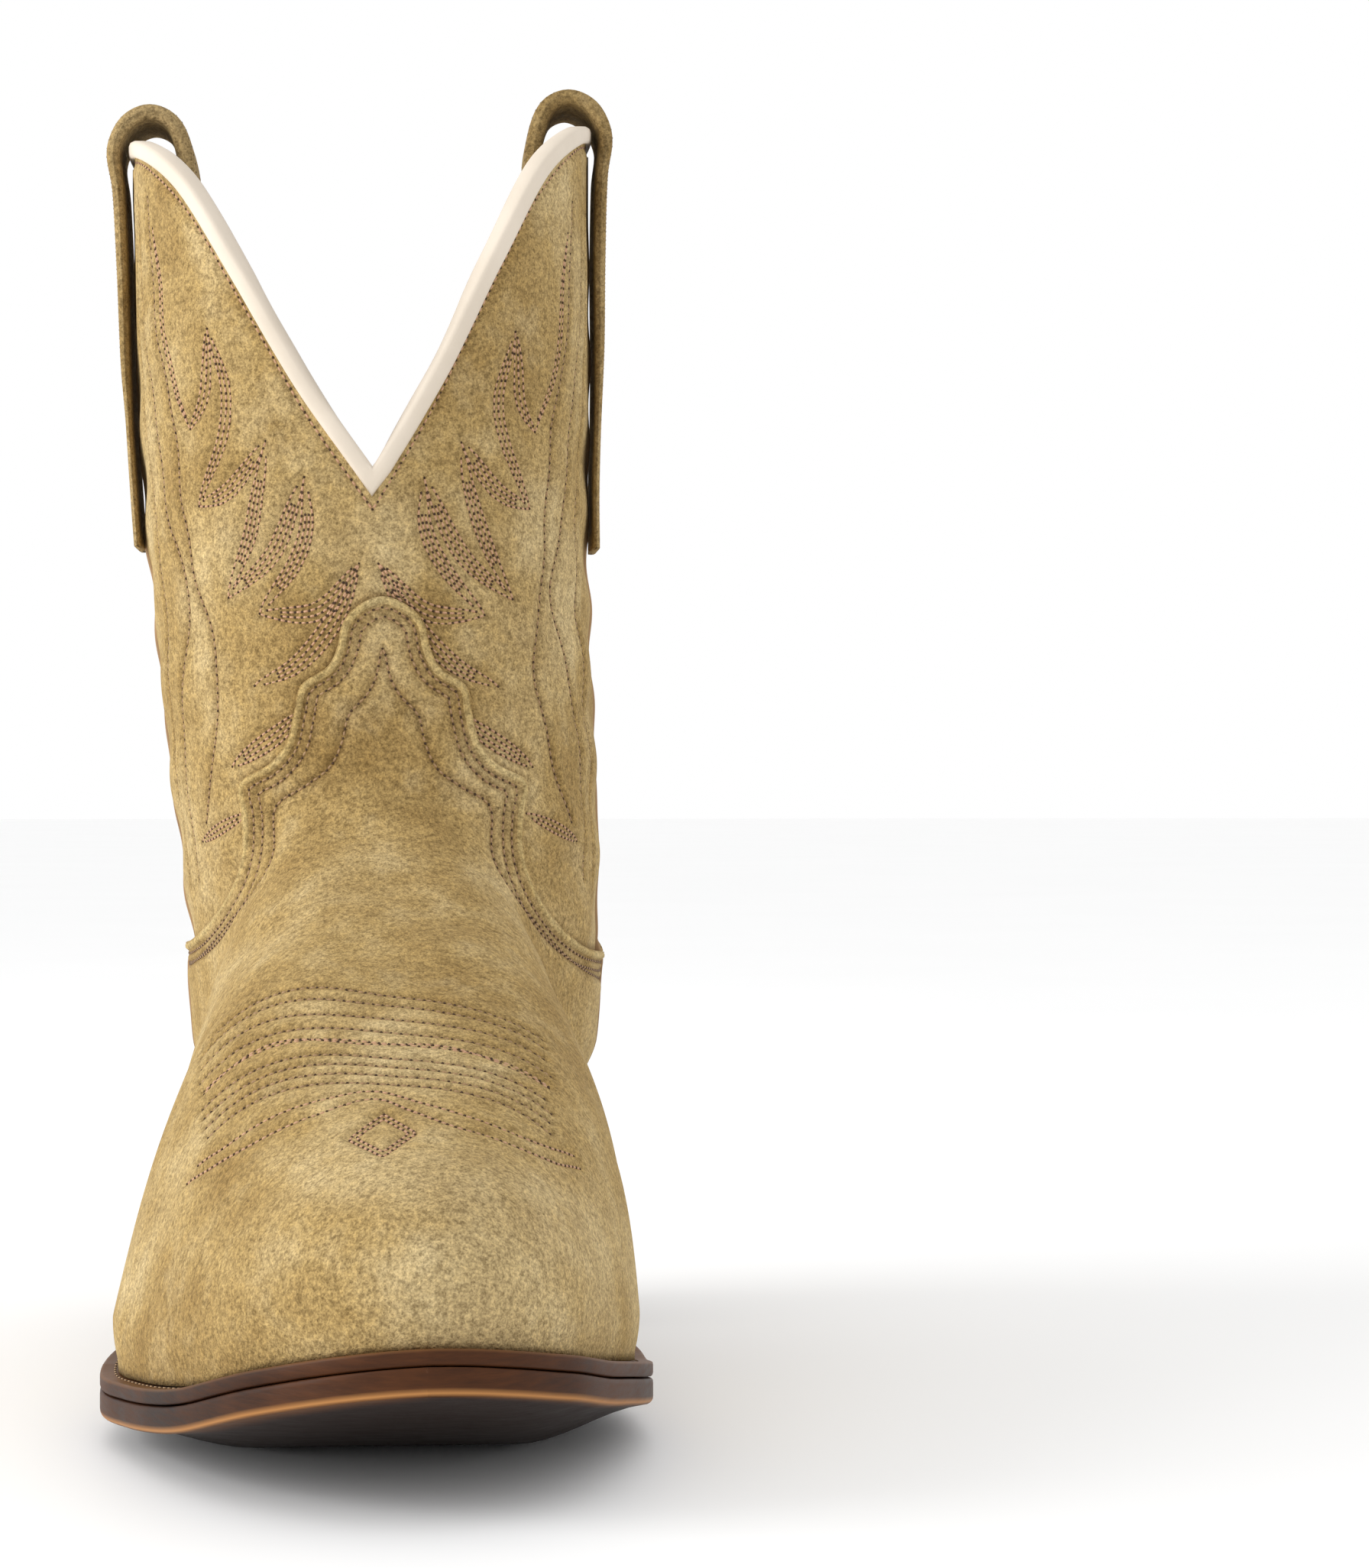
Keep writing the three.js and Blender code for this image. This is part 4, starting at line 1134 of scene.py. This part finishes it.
# Lighter suede for the rolled rims: a lighter raw edge, and partly a painted highlight along the
# rim.
FOLD_SUEDE_AND_HIGHLIGHT = suede("fold_suede_and_highlight", (0.35, 0.24, 0.093), (0.46, 0.34, 0.15), (0.57, 0.45, 0.24))
CREAM = smooth_leather("binding_leather", (0.74, 0.65, 0.54), (0.69, 0.6, 0.49), 0.55)
PIPING = smooth_leather("piping_leather", (0.36, 0.22, 0.1), (0.24, 0.14, 0.06), 0.6)
LINING = dull("lining_leather", (0.105, 0.075, 0.07), (0.06, 0.042, 0.04), 900, 0.6)
EDGE = burnished_edge("sole_edge", (0.48, 0.22, 0.07), (0.078, 0.026, 0.008), (0.015, 0.006, 0.003))
STACKED = stacked_leather("stacked_heel", (0.085, 0.032, 0.012), (0.022, 0.009, 0.005))
BOARD = dull("leather_board", (0.36, 0.23, 0.12), (0.26, 0.16, 0.08), 500, 0.75)
CORK = dull("cork_paste", (0.4, 0.22, 0.09), (0.16, 0.08, 0.03), 420, 0.85, 0.0008)
STEEL = steel("plain_steel")
RUBBER = dull("heel_rubber", (0.022, 0.017, 0.014), (0.01, 0.008, 0.007), 1200, 0.7)
PINK = thread("pink_thread", (0.58, 0.34, 0.2), (0.46, 0.26, 0.145))
BROWN = thread("brown_thread", (0.42, 0.26, 0.125), (0.29, 0.17, 0.08))
TAN = thread("tan_thread", (0.5, 0.34, 0.19), (0.36, 0.23, 0.12))
# Painted shade: dark little bodies stand where the needle holes are only shadowed recesses.
HOLE_SHADE = dull("needle_hole_shade", (0.085, 0.045, 0.022), (0.05, 0.026, 0.013), 900, 0.9)


# ---------- upper ----------

def beside(distance):
    """Shade in the narrow shadow beside an overlapping edge."""
    return np.where(distance > -0.3, 0.9 * np.exp(-(np.maximum(distance, 0) / 1.1) ** 2), 0)


def upper():
    """The four suede pieces, vamp, heel counter and two shaft panels, with two rolled edges."""
    front = WHOLE.clipped(front_of_seam)
    back = WHOLE.clipped(behind_seam)
    for edge, half, over, node, over_rows, panel, panel_node in (
        (under_tongue, front, "suede_vamp", "vamp", VAMP_ROWS, "suede_front_panel", "shaft_front"),
        (under_counter_edge, back, "suede_counter", "heel_counter", COUNTER_ROWS,
         "suede_back_panel", "shaft_back"),
    ):
        leather(over, half.clipped(edge), OVERLAY, SUEDE, "suede", node, over_rows)
        sheet = half.clipped(below_top).clipped(lambda p: LAP - edge(p))
        leather(panel, sheet, PANEL, SUEDE, "suede", panel_node, PANEL_ROWS + TOP_ROWS,
                lambda p: beside(-edge(p)))
    folded_edge("vamp_folded_edge", across_vamp(inside_line(TONGUE_LINE, 0.7)))
    left, right = (counter_curve(side, 0.8) for side in (-1, 1))
    folded_edge("counter_folded_edge", np.vstack([left[:0:-1], right]))


STIFFENER_DROP = 13
STIFFENER_FOOT_Z = 57.5
PUFF_BACK_Y = -92


def stiffening():
    """The hidden boards that keep the heel and the toe in shape."""
    heel = WHOLE.clipped(behind_seam).clipped(lambda p: under_counter_edge(p) - STIFFENER_DROP)
    heel = heel.clipped(lambda p: p[:, 2] - STIFFENER_FOOT_Z)
    toe = WHOLE.clipped(lambda p: PUFF_BACK_Y - p[:, 1])
    leather("heel_board", heel, STIFFENING, BOARD, "board", "heel_stiffener")
    leather("toe_board", toe, STIFFENING, BOARD, "board", "toe_puff")


def linings():
    front = WHOLE.clipped(lambda p: SEAM_Y - LINING_CUT - p[:, 1])
    back = WHOLE.clipped(lambda p: p[:, 1] - SEAM_Y - LINING_CUT).clipped(below_top)
    low = front.clipped(lambda p: under_tongue(p) - LINING_LAP)
    high = front.clipped(below_top).clipped(lambda p: LINING_LAP - LINING_GAP - under_tongue(p))
    leather("lining_of_vamp", low, LINED, LINING, "lining", "vamp_lining")
    leather("lining_of_front", high, LINED, LINING, "lining", "shaft_lining_front")
    leather("lining_of_back", back, LINED, LINING, "lining", "shaft_lining_back")


BINDING_PROFILE = [
    (-BINDING, 0.25), (-BINDING + 0.15, 0.75), (-BINDING + 0.7, 1.0), (-2.2, 1.1), (-1.0, 1.1),
    (-0.35, 0.85), (0, 0.2), (0.05, -1.2), (0, -2.6), (-0.4, -3.5), (-1.2, -3.9), (-2.6, -3.9),
    (-3.3, -3.7), (-BINDING, -3.3),
]


def binding_line(at_back):
    """The top line from one side seam past the notch to the other, kept off the seams."""
    left, right = (top_curve(side, at_back, 0, 140) for side in (-1, 1))
    line = np.vstack([left[:0:-1], right])
    if at_back:
        line[:, 1] = np.maximum(line[:, 1], SEAM_Y + LINING_CUT)
    else:
        line[:, 1] = np.minimum(line[:, 1], SEAM_Y - LINING_CUT)
    return line


def bindings():
    """The strip over the top edge, a V in front and a V behind, mitred at each notch."""
    for at_back, name, node in (
        (False, "front_binding", "top_binding_front"),
        (True, "back_binding", "top_binding_back"),
    ):
        line = binding_line(at_back)
        out = surface_normal(line)
        along = unit(np.diff(line, axis=0))
        tangent = unit(np.vstack([along[:1], along[:-1] + along[1:], along[-1:]]))
        mitre = np.ones(len(line))
        mitre[1:-1] = 1 / np.sqrt((1 + (along[:-1] * along[1:]).sum(1)) / 2)
        up = unit(np.cross(tangent, out))
        up *= np.sign(up[:, 2:3]) * mitre[:, None]
        loft_piece(name, swept(line, up, out, BINDING_PROFILE), CREAM, "binding", [node])


PIPING_PROFILE = [
    (-0.8, -1.6, 0), (-0.8, -0.5, 1), (-0.55, -0.12, 1), (0, 0.05, 1), (0.55, -0.12, 1),
    (0.8, -0.5, 1), (0.8, -1.6, 0),
]


def pipings():
    """A narrow strip sewn into each side seam, thicker between the outer pieces."""
    for side, name, node, peak in (
        (-1, "outer_piping", "side_piping_outer", PEAK_OUTER_Z),
        (1, "inner_piping", "side_piping_inner", PEAK_INNER_Z),
    ):
        z = np.arange(feather_line(SEAM_Y) + 0.6, peak - BINDING - 1.5, 1.0)
        line = cast(0, SEAM_Y, z, side * INWARD)
        out = unit(surface_normal(line) * [1, 0, 1])
        top = 0.55 + 1.8 * np.clip((86 - z) / 4, 0, 1)
        rings = [
            line + BACKWARD * across + out * (height + top * share)[:, None]
            for across, height, share in PIPING_PROFILE
        ]
        loft_piece(name, np.stack(rings, 1), PIPING, "piping", [node])


STRAP = [
    (171, 1.9, 0.8), (184, 1.9, 0.8), (198, 2, 0.8), (214, 2.2, 1.1), (234, 2.4, 1.3),
    (252, 3, 1.4), (260.5, 3.8, 1.6), (266.4, 0.7, 1.8), (268.4, -4, 1.8), (266.4, -8.6, 1.8),
    (259, -11.4, 1.9), (247, -12, 1.7), (232, -11, 1.6), (216, -8.4, 1.4), (204, -6.2, 0.9),
    (198, -5.8, 0.8),
]
STRAP_HALF = 13
STRAP_SEWN = 0.8
STRAP_DENT = 0.16


def strap_middle(side):
    settle = PEAK_INNER_Z - PEAK_OUTER_Z if side < 0 else 0
    stations = []
    for height, out, half in STRAP:
        z = height - settle if height > 200 else height
        wall = leg_centre(z) + side * leg_half_width(z)
        stations.append((wall + side * out, z, half))
    return evenly(smooth_line(stations, 1.0), 0.9)


def strap_rings(line, side):
    """Sections of a folded suede band, dented over its two rows of stitches."""
    shares = np.linspace(-1, 1, 53)
    edge = np.sqrt(np.clip(1 - np.abs(shares) ** 14, 0, 1))
    dent = STRAP_DENT * np.exp(-((np.abs(shares) - STRAP_SEWN) / 0.05) ** 2)
    wobble = 0.12 * np.sin(np.arange(len(line)) * 0.37 + side)
    rings = []
    for (x, z, half), (nx, nz), sway in zip(line, line_normals(line[:, :2]), wobble):
        thick = half * edge - dent
        y = SEAM_Y + shares * (STRAP_HALF - 0.15 + sway)
        one = np.stack([x + nx * thick, y, z + nz * thick], 1)
        two = np.stack([x - nx * thick, y, z - nz * thick], 1)
        rings.append(np.vstack([one, two[::-1]]))
    return rings


def strap_rows(line, side):
    """Two rows of stitches near the edges of a strap, on its outer face."""
    normal = line_normals(line[:, :2])
    out = np.stack([normal[:, 0], 0 * normal[:, 0], normal[:, 1]], 1)
    out *= np.sign(side * out[0, 0])
    face = np.stack([line[:, 0], np.full(len(line), SEAM_Y), line[:, 1]], 1)
    face += out * (line[:, 2:] - STRAP_DENT)
    tree = search_tree(face)

    def normals(points):
        level = points * [1, 0, 1] + SEAM_Y * BACKWARD
        return out[[tree.find(p)[1] for p in level]]

    rows = []
    for edge in (-1, 1):
        shifted = face + edge * STRAP_SEWN * STRAP_HALF * BACKWARD
        rows.append(Row(shifted[2:-2], 0.3, "brown", normals))
    return rows


def straps():
    rows = []
    for side, name, node in (
        (-1, "outer_strap", "pull_strap_outer"), (1, "inner_strap", "pull_strap_inner"),
    ):
        line = strap_middle(side)
        loft_piece(name, strap_rings(line, side), STRAP_SUEDE, "suede", [node])
        rows += strap_rows(line, side)
    return rows


# ---------- sole and heel ----------

sole_spread = curve_through([(-150, 4.9), (-60, 5.3), (0, 2.4), (30, 1.7), (150, 1.7)])


def sole_sides():
    """Feather edge points and normals, outer and inner, from the heel to the toe."""
    open_rows = ~GRID_CLOSED
    return [(GRID_P[open_rows, end], GRID_N[open_rows, end]) for end in (0, -1)]


def at_height(p, lift):
    return np.column_stack([p[:, :2], feather_under(p) + lift])


def plan_loop():
    """The feather edge as one closed loop of evenly spaced points and normals."""
    outer, inner = (np.hstack(side) for side in sole_sides())
    both = evenly(np.vstack([outer, inner[::-1]]), 1.0)[:-1]
    return both[:, :3], unit(both[:, 3:])


def feather_depth(piece):
    """How deep each vertex of a piece lies under the feather line."""
    co = np.zeros(3 * len(piece.data.vertices), np.float32)
    piece.data.vertices.foreach_get("co", co)
    p = co.reshape(-1, 3) * 1000 - SHIFT
    return feather_under(p) - p[:, 2]


def mark_tan_band(piece, centre, width, amount):
    """Marks a tan band at a depth under the feather line."""
    mark(piece, "rub", amount * np.exp(-((feather_depth(piece) - centre) / width) ** 2))


WELT_PROFILE = [
    (-7, -0.3, 0), (-2, -0.3, 0), (0.6, -0.32, 0.9), (1, -0.3, 0.75), (1, -0.3, 0.4),
    (1, -0.45, 0.1), (1, -0.9, 0), (1, -1.6, 0), (1, -2.3, 0), (1, -2.8, 0.15), (1, -3, 0.4),
    (0.6, -3, 0.6), (-7, -3, 0),
]


def one_run(keep):
    """Places of the one unbroken run that is kept on a closed loop, in order."""
    start = np.flatnonzero(keep & ~np.roll(keep, 1))[0]
    return (start + np.arange(keep.sum())) % len(keep)


def welts():
    """The welt and the seat rand, round the feather edge in two runs."""
    points, normals = plan_loop()
    spread = sole_spread(points[:, 1])[:, None]
    rings = []
    for share, height, cut in WELT_PROFILE:
        reach = spread * share - cut if share > 0 else share
        rings.append(at_height(points + normals * reach, height))
    rings = np.stack(rings, 1)
    front = points[:, 1] < SEAM_Y - 0.3
    for name, node, keep in (("welt_strip", "welt", front), ("seat_rand", "heel_seat_rand", ~front)):
        piece = loft_piece(name, rings[one_run(keep)], EDGE, "sole_leather", [node])
        mark_tan_band(piece, 0.35, 0.3, 0.2)


SOLE_SIDE = [
    (3.4, 0.25), (3.7, 0.05), (4.3, 0), (5.5, 0), (6.6, 0), (7.1, 0.05), (7.5, 0.2), (7.85, 0.5),
]


def sole_section(left, right):
    """A section of the outsole: flat on top, round at its edges, cambered underneath."""
    middle, half = (left + right) / 2, (right - left) / 2
    trim = min(0.6 / max(np.linalg.norm(half), 0.05), 0.4)
    depth, inset = np.array(SOLE_SIDE).T
    side = 1 - trim * inset / 0.5
    top = np.linspace(-1, 1, 9) * (1 - trim)
    under = np.linspace(1, -1, 33) * (1 - 1.6 * trim)
    shares = np.concatenate([top, side, under, -side[::-1]])
    p = middle + half * shares[:, None]
    feather = feather_under(p)
    edge_low = feather - SOLE_EDGE
    flat = np.minimum(tread_line(p[:, 1]), edge_low)
    camber = rounded_step(np.clip((1 - np.abs(shares)) / 0.5, 0, 1))
    low = edge_low + (flat - edge_low) * camber
    drop = np.concatenate([np.full(len(top), 3.3), depth, np.zeros(len(under)), depth[::-1]])
    p[:, 2] = np.where(drop > 0, feather - drop, low)
    return p


def sole_body():
    outer, inner = (p + n * sole_spread(p[:, 1])[:, None] for p, n in sole_sides())
    rings = [sole_section(left, right) for left, right in zip(outer, inner)]
    piece = loft_piece("leather_outsole", rings, EDGE, "sole_leather", ["outsole"])
    mark_tan_band(piece, 7.45, 0.4, 0.95)
    # Marks the underside for its painted shade, partly dark leather.
    mark(piece, "under", (feather_depth(piece) - SOLE_EDGE) / 0.3)


def pointing_up(points):
    return np.tile(UPWARD, (len(points), 1))


def welt_stitching():
    """The row that sews the welt to the outsole, along the top of the welt."""
    points, normals = plan_loop()
    order = one_run(points[:, 1] < SEAM_Y - 6)
    reach = 0.35 + 0.4 * sole_spread(points[order, 1])[:, None]
    line = at_height(points[order] + normals[order] * reach, -0.3)
    return [Row(line, 0.3, "tan", pointing_up, pitch=2.6)]


TOP_PIECE = 6
LIFTS = 5
CORNER = 1.2
LIFT_GAP = 0.3
TOP_PIECE_FACE = TOP_PIECE - LIFT_GAP
LAYER_EDGE = [(0, 0.45), (0.06, 0.12), (0.14, 0), (0.86, 0), (0.94, 0.12), (1, 0.45)]


def heel_outline(share):
    """The D-shaped heel at a share of its leather stack: 0 on the top piece, 1 at the seat."""
    half = 27.5 + 4.5 * share
    breast = 77 - 4 * share
    back = 123 + 11.5 * share
    bow = np.sin(np.linspace(0, math.pi / 2, 72))
    y = breast + CORNER + (back - breast - CORNER) * bow
    bend = np.maximum(bow - 0.36, 0) / 0.64
    x = half * np.sqrt(np.maximum(1 - bend ** 2.3, 0))
    right = np.vstack([[half - CORNER, breast], np.stack([x, y], 1)])
    left = right[-2::-1] * [-1, 1]
    front = np.linspace(left[-1], right[0], 14)[1:-1]
    return np.vstack([right, left, front])


def stack_height(share, y):
    seat = feather_line(y) - SOLE_EDGE - LIFT_GAP
    return TOP_PIECE + (seat - TOP_PIECE) * share


def heel_layer(low, high, height):
    """Rings of one layer between two shares of the stack. height(t, y) is t of the way up it."""
    rings = []
    for t, inset in LAYER_EDGE:
        loop = heel_outline(low + (high - low) * t)
        loop = loop - unit(loop - loop.mean(axis=0)) * inset
        rings.append(np.column_stack([loop, height(t, loop[:, 1])]))
    return rings


def heel():
    for number in range(1, LIFTS + 1):
        low, high = (number - 1) / LIFTS, number / LIFTS
        gap = LIFT_GAP if number < LIFTS else 0

        def height(t, y):
            return stack_height(low, y) * (1 - t) + (stack_height(high, y) - gap) * t

        rings = heel_layer(low, high, height)
        loft_piece(f"leather_lift_{number}", rings, STACKED, "stacked_leather",
                   [f"heel_lift_{number}"])
    rings = heel_layer(-0.15, 0, lambda t, y: np.full_like(y, TOP_PIECE_FACE * t))
    loft_piece("rubber_top_piece", rings, RUBBER, "rubber", ["heel_top_piece"])


def sock():
    """The footbed, dished a little between its edges."""
    outer, inner = ((p - 4.7 * n)[4:-6] for p, n in sole_sides())
    shares = np.linspace(-1, 1, 13)
    dish = 0.5 * (1 - shares ** 2)
    rings = []
    for left, right in zip(outer, inner):
        p = (left + right) / 2 + (right - left) / 2 * shares[:, None]
        rings.append(np.vstack([at_height(p, 9.4 - dish), at_height(p, 8.4)[::-1]]))
    loft_piece("footbed", rings, LINING, "lining", ["sock_liner"])


# ---------- stitches ----------

STITCH_SIDES = 6
THREAD_PROFILE = [(-0.5, 0), (-0.44, 0.7), (-0.2, 1), (0.2, 1), (0.44, 0.7), (0.5, 0)]
THREAD_RADIUS = 0.27
THREAD_LIFT = -0.38


def stitch_bodies(places, length, sink):
    """Small round-ended threads at (point, along, out) places, sunk at their ends."""
    p, along, out = (np.array(column) for column in zip(*places))
    across = unit(np.cross(along, out))
    rings = []
    for u, r in THREAD_PROFILE:
        bow = sink * (2 * abs(u)) ** 2
        for a in np.linspace(0, 2 * math.pi, STITCH_SIDES, endpoint=False):
            rings.append(p + along * (u * length) + across * (THREAD_RADIUS * r * math.cos(a))
                         + out * (THREAD_RADIUS * r * math.sin(a) - bow))
    points = np.stack(rings, 1).reshape(-1, 3)
    first = len(rings) * np.arange(len(p))[:, None, None]
    triangles = ring_triangles(len(THREAD_PROFILE), STITCH_SIDES) + first
    return points, triangles.reshape(-1, 3)


def row_places(row):
    """Stitch places and needle hole places of a row."""
    normal = row.normals
    raised = row.points + normal * (row.height + THREAD_LIFT)
    along = np.diff(raised, axis=0)
    length = np.linalg.norm(along, axis=1, keepdims=True)
    ok = length[:, 0] > 0.3
    middle = (raised[1:] + raised[:-1]) / 2
    out = unit(normal[1:] + normal[:-1])
    sewn = list(zip(middle[ok], along[ok] / length[ok], out[ok]))
    side = np.cross(normal, np.vstack([along, along[-1:]]))
    side /= np.maximum(np.linalg.norm(side, axis=1, keepdims=True), 1e-6)
    holes = list(zip(raised, np.cross(side, normal), normal))
    return sewn, holes


THREADS = {"pink": PINK, "brown": BROWN, "tan": TAN}


def stitches(rows):
    """All threads of one colour are one mesh, and all needle holes another, dark with painted shade.
    """
    groups = {name: [] for name in THREADS}
    holes = []
    for row in rows:
        sewn, pricked = row_places(row)
        groups[row.thread] += sewn
        holes += pricked
    for name, look in THREADS.items():
        body = stitch_bodies(groups[name], length=1.3, sink=0.25)
        triangle_piece(f"{name}_stitches", *body, look, "suede")
    # Painted shade in each needle hole.
    body = stitch_bodies(holes, length=0.58, sink=0.1)
    triangle_piece("needle_hole_shades", *body, HOLE_SHADE, "suede")


# ---------- studio ----------

def hidden_pieces():
    """Materials for the inside pieces that keep their CAD shape."""
    looks = {"bottom_filler": CORK, "shank": STEEL, "insole": BOARD}
    looks.update({f"heel_nail_{number}": STEEL for number in range(1, 6)})
    for node, look in looks.items():
        materials = bpy.data.objects[node].data.materials
        materials.clear()
        materials.append(look)


def pale_floor():
    half = 12
    corners = [(-half, -half, 0), (half, -half, 0), (half, half, 0), (-half, half, 0)]
    mesh = bpy.data.meshes.new("studio_floor")
    mesh.from_pydata(corners, [], [(0, 1, 2, 3)])
    look = Look("pale_floor", Roughness=0.6, Specular_IOR_Level=0.2)
    look.colour(look.ramp(look.noise(4), (0.3, (0.95, 0.95, 0.95)), (0.7, (0.965, 0.965, 0.965))))
    mesh.materials.append(look.material)
    floor = bpy.data.objects.new("studio_floor", mesh)
    bpy.context.scene.collection.objects.link(floor)


def key_light():
    """One soft square lamp on the boot's outer side."""
    light = bpy.data.lights.new("key", "AREA")
    light.size = 0.9
    light.energy = 14
    lamp = bpy.data.objects.new("key", light)
    lamp.location = (-1.4, -0.2, 0.55)
    aim = Vector((0, 0, 0.12)) - lamp.location
    lamp.rotation_euler = aim.to_track_quat("-Z", "Y").to_euler()
    bpy.context.scene.collection.objects.link(lamp)


def studio():
    pale_floor()
    key_light()
    world = bpy.data.worlds.new("studio_world")
    world.use_nodes = True
    background = world.node_tree.nodes["Background"]
    background.inputs["Color"].default_value = (1, 1, 1, 1)
    background.inputs["Strength"].default_value = 1.0
    bpy.context.scene.world = world
    bpy.context.scene.view_settings.view_transform = "Standard"


def camera():
    """In front of the toe, level, turned a little towards the inner side."""
    lens = bpy.data.cameras.new("camera")
    lens.sensor_fit = "HORIZONTAL"
    lens.sensor_width = 36
    lens.lens = 97.55
    lens.clip_start = 0.01
    rig = bpy.data.objects.new("camera", lens)
    rig.location = to_frame([0, -739, 120])
    rig.rotation_euler = (math.radians(90), 0, math.radians(-4.46))
    bpy.context.scene.collection.objects.link(rig)
    bpy.context.scene.camera = rig


upper()
stiffening()
linings()
bindings()
pipings()
strap_stitching = straps()
welts()
sole_body()
heel()
sock()
stitches(PANEL_ROWS + TOP_ROWS + VAMP_ROWS + COUNTER_ROWS + strap_stitching + welt_stitching())
hidden_pieces()
studio()
camera()
